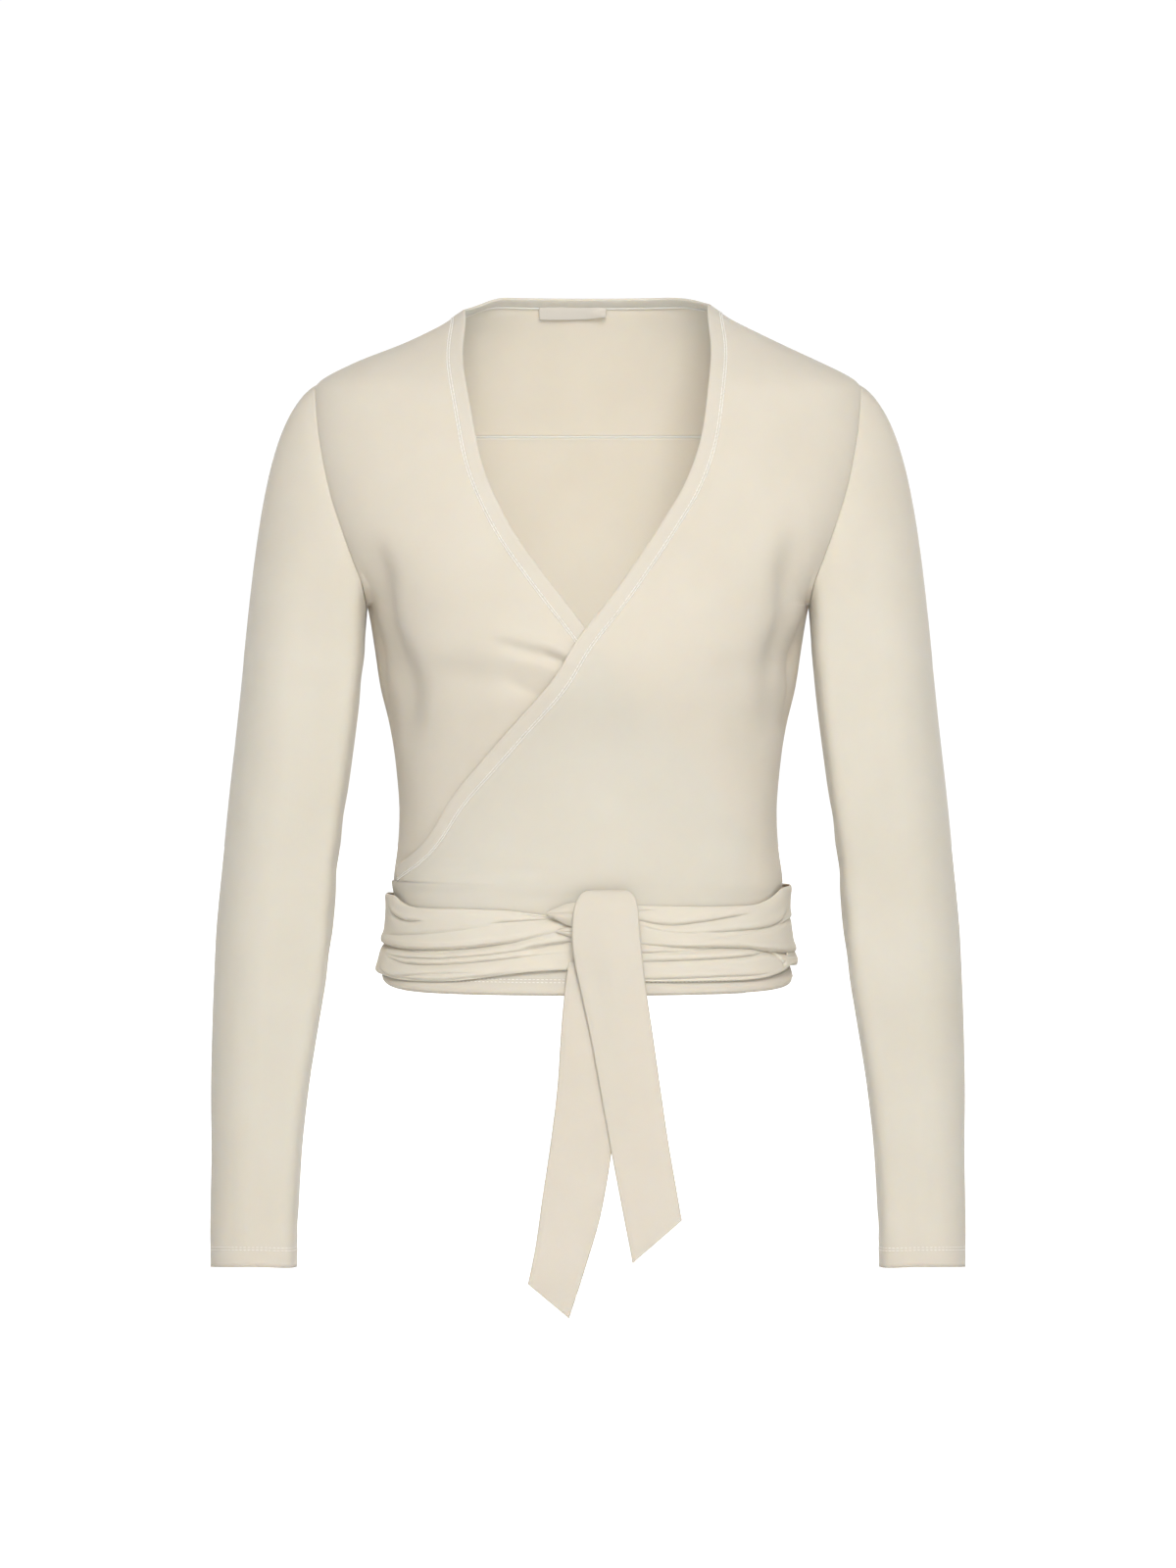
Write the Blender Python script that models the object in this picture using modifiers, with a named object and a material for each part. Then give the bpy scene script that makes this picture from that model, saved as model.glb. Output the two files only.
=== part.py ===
"""Wrap top in fine jersey, worn hollow on a general figure.

Metres, +Z up, the front looks toward -Y and the wearer's left is +X. The origin lies between the two
shoulder points of the neck. Each cut piece is its own thin wall, laid on one torso form or one sleeve form.
"""

import math
from collections import namedtuple

import bpy
from mathutils import Vector

# ---- sizes ------------------------------------------------------------------------------------------------
WALL = 0.0012
FOLDED_WALL = 0.0018
SEAM_GAP = 0.00035
LAYER_LIFT = 0.0028
END_LIFT = 0.0018
UNDER_SINK = 0.0018
SASH_WALL = 0.0016
SASH_LIFT = 0.0055
SASH_OVER_LIFT = 0.0084

HEM_HEIGHT = -0.468
HEM_FOLD = -0.4585
UNDERARM_HEIGHT = -0.205
SHOULDER_HEIGHT = -0.051
YOKE_SEAM_HEIGHT = -0.085
NECK_POINT_HEIGHT = -0.0015
BACK_NECK_RISE = 0.0075

BAND_WIDTH = 0.0095
BACK_BAND_GAP = 0.0013
BAND_LEAN_IN = 0.87
BAND_LEAN_UP = 0.50

LABEL_WIDTH = 0.048
LABEL_CENTRE = -0.011
LABEL_TOP = 0.0030
LABEL_DROP = 0.0105
LABEL_WALL = 0.0010

FRONT_COLUMNS = 12
BACK_COLUMNS = 16
SASH_COLUMNS = 25
SEAM_STEP = 0.04

# ---- tables -----------------------------------------------------------------------------------------------
Torso = namedtuple("Torso", "height half_width front back power")
TORSO = (
    Torso(-0.4680, 0.1448, 0.1010, 0.1000, 2.30),
    Torso(-0.4550, 0.1405, 0.0990, 0.0975, 2.30),
    Torso(-0.4400, 0.1368, 0.0975, 0.0945, 2.30),
    Torso(-0.4250, 0.1345, 0.0960, 0.0910, 2.28),
    Torso(-0.4090, 0.1337, 0.0945, 0.0875, 2.26),
    Torso(-0.3960, 0.1352, 0.0935, 0.0850, 2.25),
    Torso(-0.3820, 0.1335, 0.0925, 0.0820, 2.25),
    Torso(-0.3690, 0.1318, 0.0920, 0.0805, 2.25),
    Torso(-0.3480, 0.1308, 0.0930, 0.0790, 2.25),
    Torso(-0.3140, 0.1333, 0.0980, 0.0820, 2.27),
    Torso(-0.2870, 0.1377, 0.1060, 0.0860, 2.30),
    Torso(-0.2600, 0.1442, 0.1160, 0.0900, 2.34),
    Torso(-0.2330, 0.1482, 0.1215, 0.0930, 2.38),
    Torso(-0.2050, 0.1530, 0.1200, 0.0950, 2.40),
    Torso(-0.1900, 0.1600, 0.1175, 0.0958, 2.40),
    Torso(-0.1750, 0.1680, 0.1130, 0.0963, 2.40),
    Torso(-0.1500, 0.1800, 0.1055, 0.0965, 2.40),
    Torso(-0.1250, 0.1870, 0.0965, 0.0955, 2.40),
    Torso(-0.1000, 0.1910, 0.0865, 0.0930, 2.34),
    Torso(-0.0750, 0.1925, 0.0760, 0.0895, 2.18),
    Torso(-0.0510, 0.1890, 0.0660, 0.0845, 1.98),
    Torso(-0.0420, 0.1737, 0.0610, 0.0825, 1.96),
    Torso(-0.0286, 0.1450, 0.0510, 0.0790, 2.00),
    Torso(-0.0150, 0.1165, 0.0390, 0.0745, 2.10),
    Torso(-0.0015, 0.0910, 0.0260, 0.0690, 2.25),
    Torso(0.0060, 0.0850, 0.0200, 0.0660, 2.40),
)

Reach = namedtuple("Reach", "height across")
ARMHOLE = (
    Reach(-0.2050, 0.1530),
    Reach(-0.1900, 0.1552),
    Reach(-0.1750, 0.1605),
    Reach(-0.1500, 0.1695),
    Reach(-0.1250, 0.1775),
    Reach(-0.1000, 0.1830),
    Reach(-0.0750, 0.1870),
    Reach(-0.0510, 0.1890),
)
OVER_NECKLINE = (
    Reach(-0.3935, -0.1344),
    Reach(-0.3845, -0.1181),
    Reach(-0.3677, -0.1013),
    Reach(-0.3405, -0.0848),
    Reach(-0.3162, -0.0645),
    Reach(-0.2892, -0.0417),
    Reach(-0.2560, -0.0132),
    Reach(-0.2333, 0.0000),
    Reach(-0.2063, 0.0217),
    Reach(-0.1755, 0.0436),
    Reach(-0.1520, 0.0590),
    Reach(-0.1233, 0.0758),
    Reach(-0.0890, 0.0873),
    Reach(-0.0631, 0.0910),
    Reach(-0.0281, 0.0943),
    Reach(-0.0040, 0.0920),
)
UNDER_NECKLINE = (
    Reach(-0.3800, -0.1090),
    Reach(-0.3677, -0.1000),
    Reach(-0.3405, -0.0830),
    Reach(-0.3162, -0.0630),
    Reach(-0.2892, -0.0400),
    Reach(-0.2560, -0.0125),
    Reach(-0.2280, 0.0073),
    Reach(-0.1823, 0.0423),
    Reach(-0.1520, 0.0630),
    Reach(-0.1045, 0.0826),
    Reach(-0.0633, 0.0896),
    Reach(-0.0281, 0.0929),
    Reach(-0.0040, 0.0920),
)
TurnAt = namedtuple("TurnAt", "height degrees")
OVER_END = (
    TurnAt(-0.4680, 186.0),
    TurnAt(-0.4250, 186.0),
    TurnAt(-0.4070, 184.0),
    TurnAt(-0.3960, 176.0),
)

LOWER_ROWS = (HEM_HEIGHT, HEM_FOLD, -0.4400, -0.4180, -0.3980, -0.3935, -0.3845, -0.3690,
              -0.3500, -0.3270, -0.3010, -0.2740, -0.2460, -0.2220)
ARM_ROWS = (UNDERARM_HEIGHT, -0.2035, -0.1990, -0.1900, -0.1740, -0.1540, -0.1300, -0.1060,
            YOKE_SEAM_HEIGHT, -0.0670, -0.0555, SHOULDER_HEIGHT)
RIDGE_ROWS = (-0.0400, -0.0270, -0.0140, -0.0040)
BACK_LOWER_ROWS = (HEM_HEIGHT, HEM_FOLD, -0.4400, -0.4200, -0.3960, -0.3700, -0.3400, -0.3050, -0.2700, -0.2350)

Sleeve = namedtuple("Sleeve", "height centre half_width half_depth forward")
SLEEVE = (
    Sleeve(-0.2400, 0.1972, 0.0413, 0.0470, -0.002),
    Sleeve(-0.2850, 0.2022, 0.0410, 0.0470, -0.001),
    Sleeve(-0.3400, 0.2088, 0.0404, 0.0460, 0.003),
    Sleeve(-0.3810, 0.2134, 0.0397, 0.0445, 0.006),
    Sleeve(-0.4210, 0.2169, 0.0400, 0.0435, 0.010),
    Sleeve(-0.4610, 0.2202, 0.0386, 0.0415, 0.015),
    Sleeve(-0.5010, 0.2240, 0.0360, 0.0385, 0.020),
    Sleeve(-0.5410, 0.2272, 0.0333, 0.0350, 0.025),
    Sleeve(-0.5860, 0.2291, 0.0308, 0.0317, 0.031),
    Sleeve(-0.6460, 0.2307, 0.0298, 0.0293, 0.036),
    Sleeve(-0.6600, 0.2307, 0.0295, 0.0290, 0.037),
)
Leaving = namedtuple("Leaving", "outward sideways down start_pull end_pull")
CAP_TOP = Leaving(0.885, 0.0, -0.465, 0.54, 1.50)
CAP_SIDE = Leaving(0.720, 0.30, -0.620, 0.50, 0.90)
CAP_UNDER = Leaving(0.100, 0.0, -0.995, 0.40, 0.60)
CAP_STEPS = (0.0, 0.14, 0.32, 0.53, 0.77)
SLEEVE_AXIS = Vector((0.10, 0.0, -0.995))

Stretch = namedtuple("Stretch", "degrees top bottom lift fold_share")
SASH_LEFT = (
    Stretch(76.5, -0.4060, -0.4560, 0.0060, 0.4),
    Stretch(60.0, -0.4072, -0.4562, SASH_LIFT, 1.0),
    Stretch(35.0, -0.4072, -0.4560, SASH_LIFT, 1.0),
    Stretch(15.0, -0.4030, -0.4570, SASH_OVER_LIFT, 0.8),
    Stretch(0.0, -0.3995, -0.4560, SASH_OVER_LIFT, 0.8),
    Stretch(-25.0, -0.3990, -0.4540, SASH_OVER_LIFT, 0.6),
    Stretch(-50.0, -0.4000, -0.4290, SASH_OVER_LIFT, 0.4),
    Stretch(-90.0, -0.4010, -0.4290, SASH_LIFT, 0.4),
    Stretch(-150.0, -0.4030, -0.4290, SASH_LIFT, 0.3),
    Stretch(-170.0, -0.4100, -0.4400, SASH_LIFT, 0.2),
)
SASH_RIGHT = (
    Stretch(99.0, -0.4115, -0.4500, 0.0060, 0.4),
    Stretch(112.0, -0.4100, -0.4560, SASH_LIFT, 1.0),
    Stretch(140.0, -0.4085, -0.4590, SASH_LIFT, 1.0),
    Stretch(165.0, -0.4065, -0.4610, SASH_OVER_LIFT, 0.8),
    Stretch(180.0, -0.4050, -0.4610, SASH_OVER_LIFT, 0.8),
    Stretch(205.0, -0.4070, -0.4620, SASH_OVER_LIFT, 0.6),
    Stretch(228.0, -0.4320, -0.4625, SASH_OVER_LIFT, 0.4),
    Stretch(270.0, -0.4320, -0.4620, SASH_LIFT, 0.4),
    Stretch(330.0, -0.4320, -0.4600, SASH_LIFT, 0.3),
    Stretch(378.0, -0.4150, -0.4520, SASH_LIFT, 0.2),
)
Fold = namedtuple("Fold", "share bulge")
LEFT_FOLDS = (
    Fold(0.00, 0.0000),
    Fold(0.16, 0.0016),
    Fold(0.34, 0.0005),
    Fold(0.47, 0.0019),
    Fold(0.59, 0.0000),
    Fold(0.80, 0.0018),
    Fold(1.00, 0.0000),
)
RIGHT_FOLDS = (
    Fold(0.00, 0.0000),
    Fold(0.14, 0.0015),
    Fold(0.40, 0.0020),
    Fold(0.55, 0.0012),
    Fold(0.62, 0.0000),
    Fold(0.80, 0.0017),
    Fold(1.00, 0.0000),
)

KnotRow = namedtuple("KnotRow", "degrees top bottom lift")
KNOT = (
    KnotRow(102.0, -0.4125, -0.4470, 0.0096),
    KnotRow(97.0, -0.4090, -0.4490, 0.0125),
    KnotRow(90.0, -0.4070, -0.4500, 0.0144),
    KnotRow(82.0, -0.4070, -0.4500, 0.0140),
    KnotRow(75.5, -0.4085, -0.4480, 0.0098),
)
Strip = namedtuple("Strip", "left right left_height right_height depth")
TAIL_FRONT = (
    Strip(0.0010, 0.0220, -0.4010, -0.4010, 0.0992),
    Strip(0.0000, 0.0240, -0.3965, -0.3965, 0.1030),
    Strip(-0.0040, 0.0290, -0.3985, -0.3975, 0.1085),
    Strip(-0.0095, 0.0335, -0.4080, -0.4060, 0.1118),
    Strip(-0.0110, 0.0350, -0.4260, -0.4240, 0.1134),
    Strip(-0.0085, 0.0370, -0.4450, -0.4440, 0.1138),
    Strip(-0.0050, 0.0390, -0.4640, -0.4620, 0.1131),
    Strip(0.0020, 0.0430, -0.4970, -0.4910, 0.1125),
    Strip(0.0085, 0.0485, -0.5330, -0.5260, 0.1125),
    Strip(0.0160, 0.0540, -0.5750, -0.5640, 0.1125),
    Strip(0.0230, 0.0595, -0.6120, -0.5960, 0.1126),
    Strip(0.0304, 0.0638, -0.6500, -0.6205, 0.1127),
)
TAIL_BACK = (
    Strip(-0.0130, 0.0200, -0.4485, -0.4485, 0.1079),
    Strip(-0.0165, 0.0225, -0.4700, -0.4700, 0.1094),
    Strip(-0.0182, 0.0220, -0.4960, -0.4960, 0.1096),
    Strip(-0.0205, 0.0200, -0.5260, -0.5290, 0.1096),
    Strip(-0.0250, 0.0165, -0.5640, -0.5700, 0.1096),
    Strip(-0.0310, 0.0090, -0.6050, -0.6150, 0.1096),
    Strip(-0.0360, -0.0010, -0.6400, -0.6500, 0.1096),
    Strip(-0.0410, -0.0132, -0.6640, -0.6880, 0.1096),
)

# ---- shape helpers ----------------------------------------------------------------------------------------


def blend(table, key, column, at):
    """A smooth value of one column at a key, through the rows in rising order of that key."""
    rows = sorted(table, key=lambda row: getattr(row, key))
    keys = [getattr(row, key) for row in rows]
    values = [getattr(row, column) for row in rows]
    if at <= keys[0]:
        return values[0]
    if at >= keys[-1]:
        return values[-1]
    k = max(i for i, value in enumerate(keys) if value <= at)
    slopes = [(values[i + 1] - values[i]) / (keys[i + 1] - keys[i]) for i in range(len(keys) - 1)]

    def tangent(i):
        if i == 0:
            return slopes[0]
        if i == len(keys) - 1:
            return slopes[-1]
        before, after = slopes[i - 1], slopes[i]
        if before * after <= 0.0:
            return 0.0
        return 2.0 * before * after / (before + after)

    step = keys[k + 1] - keys[k]
    t = (at - keys[k]) / step
    start = values[k] * (2 * t**3 - 3 * t**2 + 1) + tangent(k) * step * (t**3 - 2 * t**2 + t)
    end = values[k + 1] * (3 * t**2 - 2 * t**3) + tangent(k + 1) * step * (t**3 - t**2)
    return start + end


def ease(low, high, value):
    """Zero below low, one above high, smooth between."""
    t = min(1.0, max(0.0, (value - low) / (high - low)))
    return t * t * (3.0 - 2.0 * t)


def bent(value, power):
    """A sine or cosine bent onto a squarer oval."""
    return math.copysign(abs(value) ** (2.0 / power), value)


def section(height):
    """The torso's oval at a height."""
    return [blend(TORSO, "height", column, height) for column in ("half_width", "front", "back", "power")]


def on_form(height, turn):
    """A point of the torso form: turn 0 is the wearer's left, a quarter turn the front, half the right."""
    half_width, front, back, power = section(height)
    across = half_width * bent(math.cos(turn), power)
    deep = bent(math.sin(turn), power)
    return Vector((across, -deep * (front if deep >= 0.0 else back), height))


def form_normal(height, turn):
    """The outward direction of the torso form."""
    step = 0.004
    along = on_form(height, turn + step) - on_form(height, turn - step)
    up = on_form(height + step, turn) - on_form(height - step, turn)
    return up.cross(along).normalized()


def lifted(height, turn, lift):
    """A point held off the torso form."""
    return on_form(height, turn) + form_normal(height, turn) * lift


def turn_at(height, across):
    """The front turn at which the form has this distance across."""
    half_width, _, _, power = section(height)
    share = min(1.0, abs(across) / half_width)
    return math.acos(math.copysign(share ** (power / 2.0), across))


def seam_turn(height, back):
    """The turn from the side line that leaves half a seam gap."""
    _, front_depth, back_depth, power = section(height)
    depth = back_depth if back else front_depth
    return math.asin((0.5 * SEAM_GAP / depth) ** (power / 2.0))


def armhole_turn(height):
    """The turn of the armhole seam from the side line, zero away from the armhole."""
    if not UNDERARM_HEIGHT < height < SHOULDER_HEIGHT:
        return 0.0
    return turn_at(height, blend(ARMHOLE, "height", "across", height))


def outer_turn(height, back=False):
    """Where a body panel ends at its side: side seam, armhole seam or shoulder seam."""
    return max(armhole_turn(height), seam_turn(height, back))


def over_turn(height):
    """Where the upper front ends: its neckline, or its tucked end under the sash."""
    if height < OVER_NECKLINE[0].height:
        return math.radians(blend(OVER_END, "height", "degrees", height))
    return turn_at(height, blend(OVER_NECKLINE, "height", "across", height))


def under_turn(height):
    """Where the lower front ends: its neckline, then its hidden tip."""
    return math.pi - turn_at(height, blend(UNDER_NECKLINE, "height", "across", height))


def over_lift(height, turn):
    """How far the upper front rides over the lower one: nothing at its own seams."""
    side = ease(0.0, 0.50, turn - outer_turn(height))
    chest = 1.0 - ease(-0.185, -0.090, height)
    return (LAYER_LIFT + END_LIFT * ease(2.4, 2.9, turn)) * side * chest


def under_sink(height, turn):
    """How far the lower front lies inside the form where the upper one covers it."""
    if height > OVER_NECKLINE[-3].height:
        return 0.0
    covered = ease(-0.25, 0.10, over_turn(height) - turn)
    return -UNDER_SINK * covered * ease(0.0, 0.40, math.pi - outer_turn(height) - turn)


# ---- object helpers ---------------------------------------------------------------------------------------


def cloth_material(name, colour):
    """One jersey material for one piece."""
    material = bpy.data.materials.new(name)
    material.use_nodes = True
    shader = material.node_tree.nodes["Principled BSDF"]
    shader.inputs["Base Color"].default_value = (*colour, 1.0)
    shader.inputs["Roughness"].default_value = 0.9
    return material


IVORY = (0.80, 0.76, 0.68)
WHITE = (0.85, 0.84, 0.81)


def shell(name, rows, wall, folded_rows=(), closed=False, colour=IVORY):
    """A cloth wall on rows of points. Its outer side is the rows' own, and folded rows are thicker."""
    count = len(rows[0])
    points = [point for row in rows for point in row]
    faces = []
    for r in range(len(rows) - 1):
        for c in range(count if closed else count - 1):
            here, beside = r * count + c, r * count + (c + 1) % count
            faces.append((here, here + count, beside + count, beside))
    mesh = bpy.data.meshes.new(name)
    mesh.from_pydata(points, [], faces)
    mesh.update()
    part = bpy.data.objects.new(name, mesh)
    piece_collection.objects.link(part)
    mesh.materials.append(cloth_material(name + "_cloth", colour))
    solid = part.modifiers.new("wall", "SOLIDIFY")
    solid.thickness = wall
    solid.offset = -1.0
    solid.use_even_offset = True
    if folded_rows:
        group = part.vertex_groups.new(name="folded")
        group.add([r * count + c for r in folded_rows for c in range(count)], 1.0, "REPLACE")
        solid.thickness = FOLDED_WALL
        solid.vertex_group = "folded"
        solid.thickness_vertex_group = wall / FOLDED_WALL
    return part


def between(start, end, count):
    """Even values from start to end."""
    return [start + (end - start) * i / count for i in range(count + 1)]


def from_seam(seam, end, count):
    """Turns from a side seam to a panel's other edge, with a narrow first step that squares the seam."""
    first = min(SEAM_STEP, 0.25 * abs(end - seam) / count)
    return [seam] + between(seam + math.copysign(first, end - seam), end, count - 1)


# ---- body panels ------------------------------------------------------------------------------------------


def front_over():
    """The wearer's left front, which crosses on top and ends past the right side."""
    rows = []
    for height in LOWER_ROWS + ARM_ROWS + RIDGE_ROWS:
        end = over_turn(height)
        turns = from_seam(outer_turn(height), end - 0.05 * end, FRONT_COLUMNS - 1) + [end]
        rows.append([lifted(height, turn, over_lift(height, turn)) for turn in turns])
    return shell("front_over", rows, WALL, folded_rows=(0, 1))


def front_under():
    """The wearer's right front, which crosses underneath."""
    rows = []
    for height in LOWER_ROWS + ARM_ROWS + RIDGE_ROWS:
        turns = from_seam(math.pi - outer_turn(height), under_turn(height), FRONT_COLUMNS)
        turns.reverse()
        rows.append([lifted(height, turn, under_sink(height, turn)) for turn in turns])
    return shell("front_under", rows, WALL, folded_rows=(0, 1))


def back_turns(height):
    """The turns of one row across the back."""
    seam, middle = outer_turn(height, True), 1.5 * math.pi
    right = from_seam(math.pi + seam, middle, BACK_COLUMNS // 2)
    left = from_seam(2 * math.pi - seam, middle, BACK_COLUMNS // 2)
    return right + left[-2::-1]


def back_body():
    """The back below the yoke seam."""
    arm_rows = [height for height in ARM_ROWS if height < YOKE_SEAM_HEIGHT]
    heights = BACK_LOWER_ROWS + tuple(arm_rows) + (YOKE_SEAM_HEIGHT - 0.5 * SEAM_GAP,)
    rows = [[on_form(height, turn) for turn in back_turns(height)] for height in heights]
    return shell("back_body", rows, WALL, folded_rows=(0, 1))


def back_neck_height(turn):
    """The back neck seam rises from the shoulder points to the centre."""
    return NECK_POINT_HEIGHT - BACK_NECK_RISE * min(0.0, math.sin(turn))


def back_yoke():
    """The back above the yoke seam, up to the neck seam."""
    arm_rows = [height for height in ARM_ROWS if height > YOKE_SEAM_HEIGHT]
    heights = (YOKE_SEAM_HEIGHT + 0.5 * SEAM_GAP,) + tuple(arm_rows) + RIDGE_ROWS[:3]
    rows = [[on_form(height, turn) for turn in back_turns(height)] for height in heights]
    rows.append(back_neck_seam())
    return shell("back_yoke", rows, WALL)


def back_neck_seam():
    """Points of the back neck seam, from the wearer's right to the left."""
    return [on_form(back_neck_height(turn), turn) for turn in back_turns(NECK_POINT_HEIGHT)]


# ---- neckband and label -----------------------------------------------------------------------------------


def front_seam(neckline, lift):
    """A front neckline seam from its lower end to the shoulder, with the form's normals."""
    heights = [height for height in LOWER_ROWS + ARM_ROWS + RIDGE_ROWS if height >= neckline[0].height]
    seam = []
    for height in heights:
        turn = turn_at(height, blend(neckline, "height", "across", height))
        seam.append((lifted(height, turn, lift(height, turn)), form_normal(height, turn)))
    return seam


def mirrored(vector):
    """The same vector on the wearer's other side."""
    return Vector((-vector.x, vector.y, vector.z))


def neckband():
    """One folded strip: up the upper front, round the back neck and down the lower front."""
    over = front_seam(OVER_NECKLINE, over_lift)
    under = front_seam(UNDER_NECKLINE, lambda height, turn: under_sink(height, math.pi - turn))
    under = [(mirrored(point), mirrored(normal)) for point, normal in reversed(under)]
    back = [(point, None) for point in reversed(back_neck_seam())]
    path = over + back + under
    rows = []
    for k, (point, normal) in enumerate(path):
        before, after = path[max(0, k - 1)][0], path[min(len(path) - 1, k + 1)][0]
        if normal is None:
            inward = Vector((-point.x, -point.y, 0.0)).normalized()
            across = (inward * BAND_LEAN_IN + Vector((0.0, 0.0, BAND_LEAN_UP))).normalized()
        else:
            across = normal.cross(after - before).normalized()
        gap = BACK_BAND_GAP if normal is None else SEAM_GAP
        rows.append([point + across * gap, point + across * BAND_WIDTH])
    return shell("neckband", rows, FOLDED_WALL)


def neck_label():
    """A blank woven label that hangs inside the back neck."""
    rows = []
    for drop in (LABEL_DROP, 0.5 * LABEL_DROP, 0.0):
        height = LABEL_TOP - drop
        left = 2 * math.pi - turn_at(height, LABEL_CENTRE - 0.5 * LABEL_WIDTH)
        right = 2 * math.pi - turn_at(height, LABEL_CENTRE + 0.5 * LABEL_WIDTH)
        rows.append([lifted(height, turn, -WALL - 0.0009) for turn in between(left, right, 6)])
    return shell("neck_label", rows, LABEL_WALL, colour=WHITE)


# ---- sleeves ----------------------------------------------------------------------------------------------


def armhole_loop():
    """The left armhole seam as a closed loop: shoulder, back, underarm, front."""
    rising = list(ARM_ROWS)
    back = [on_form(height, 2 * math.pi - armhole_turn(height)) for height in reversed(rising)]
    front = [on_form(height, armhole_turn(height)) for height in rising[1:-1]]
    return back + front


def ring_turns(loop):
    """How far round the sleeve each loop point lies, by its share of the loop's length."""
    lengths = [(loop[(k + 1) % len(loop)] - loop[k]).length for k in range(len(loop))]
    total = sum(lengths)
    return [2 * math.pi * sum(lengths[:k]) / total for k in range(len(loop))]


def sleeve_ring(row, turns):
    """One ring of the sleeve below the cap: turn 0 is its outer side, a quarter turn its back."""
    return [
        Vector((
            row.centre + row.half_width * math.cos(turn),
            -row.forward + row.half_depth * math.sin(turn),
            row.height,
        ))
        for turn in turns
    ]


def leaving(turn):
    """Direction and pulls of the cloth as it leaves the armhole seam, mixed round the loop."""
    shares = (max(0.0, math.cos(turn)) ** 2, math.sin(turn) ** 2, max(0.0, -math.cos(turn)) ** 2)
    mixed = [
        sum(share * getattr(row, name) for share, row in zip(shares, (CAP_TOP, CAP_SIDE, CAP_UNDER)))
        for name in Leaving._fields
    ]
    outward, sideways, down, start_pull, end_pull = mixed
    side = math.copysign(sideways, math.sin(turn))
    return Vector((outward, side, down)).normalized(), start_pull, end_pull


def left_sleeve_rows():
    """The set-in cap lofted from the armhole loop, then the arm down to the cuff."""
    loop = armhole_loop()
    turns = ring_turns(loop)
    first = sleeve_ring(SLEEVE[0], turns)
    rows = []
    for share in CAP_STEPS:
        row = []
        for seam, turn, low in zip(loop, turns, first):
            direction, start_pull, end_pull = leaving(turn)
            clear = (direction + Vector((1.0, 0.0, 0.0))).normalized() * 1.5 * SEAM_GAP
            start = seam + clear
            reach = (low - start).length
            t = share
            row.append(
                start * (2 * t**3 - 3 * t**2 + 1)
                + direction * start_pull * reach * (t**3 - 2 * t**2 + t)
                + low * (3 * t**2 - 2 * t**3)
                + SLEEVE_AXIS * end_pull * reach * (t**3 - t**2)
            )
        rows.append(row)
    rows.extend(sleeve_ring(row, turns) for row in SLEEVE)
    return rows


def sleeve(side):
    """One long sleeve, open at the cuff."""
    rows = left_sleeve_rows()
    if side == "right":
        rows = [[mirrored(point) for point in reversed(row)] for row in rows]
    last = len(rows) - 1
    return shell("sleeve_" + side, rows, WALL, folded_rows=(last - 1, last), closed=True)


# ---- sash -------------------------------------------------------------------------------------------------


def sash(name, table, folds):
    """One tie wound from the knot round one side and across the back, gathered into soft folds."""
    start, end = table[0].degrees, table[-1].degrees
    stations = between(start, end, SASH_COLUMNS)
    if start > end:
        stations.reverse()
    rows = []
    for fold in reversed(folds):
        row = []
        for degrees in stations:
            top, bottom, lift, share = [
                blend(table, "degrees", column, degrees)
                for column in ("top", "bottom", "lift", "fold_share")
            ]
            height = top + (bottom - top) * fold.share
            row.append(lifted(height, math.radians(degrees), lift + fold.bulge * share))
        rows.append(row)
    return shell(name, rows, SASH_WALL)


def knot():
    """The crossing of the two ties, under the front tail."""
    rows = []
    for share, lift in ((1.0, -0.0012), (0.75, 0.0), (0.5, 0.0002), (0.25, 0.0), (0.0, -0.0012)):
        row = []
        for station in reversed(KNOT):
            height = station.top + (station.bottom - station.top) * share
            row.append(lifted(height, math.radians(station.degrees), station.lift + lift))
        rows.append(row)
    return shell("knot", rows, SASH_WALL)


def tail(name, table, columns):
    """One free end of the sash, cut on the slant."""
    rows = []
    for strip in table:
        rows.append([
            Vector((
                strip.left + (strip.right - strip.left) * share,
                -strip.depth - 0.0008 * math.sin(math.pi * share),
                strip.left_height + (strip.right_height - strip.left_height) * share,
            ))
            for share in between(0.0, 1.0, columns)
        ])
    return shell(name, rows, SASH_WALL)


# ---- build ------------------------------------------------------------------------------------------------
for old in list(bpy.data.objects):
    bpy.data.objects.remove(old)
piece_collection = bpy.data.collections.new("wrap_top")
bpy.context.scene.collection.children.link(piece_collection)

front_over()
front_under()
back_body()
back_yoke()
neckband()
neck_label()
sleeve("left")
sleeve("right")
sash("sash_left", SASH_LEFT, LEFT_FOLDS)
sash("sash_right", SASH_RIGHT, RIGHT_FOLDS)
knot()
tail("tail_front", TAIL_FRONT, 3)
tail("tail_back", TAIL_BACK, 3)
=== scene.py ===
"""Looks of the wrap top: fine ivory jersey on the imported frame. Metres, front towards -Y."""

from collections import namedtuple

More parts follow.
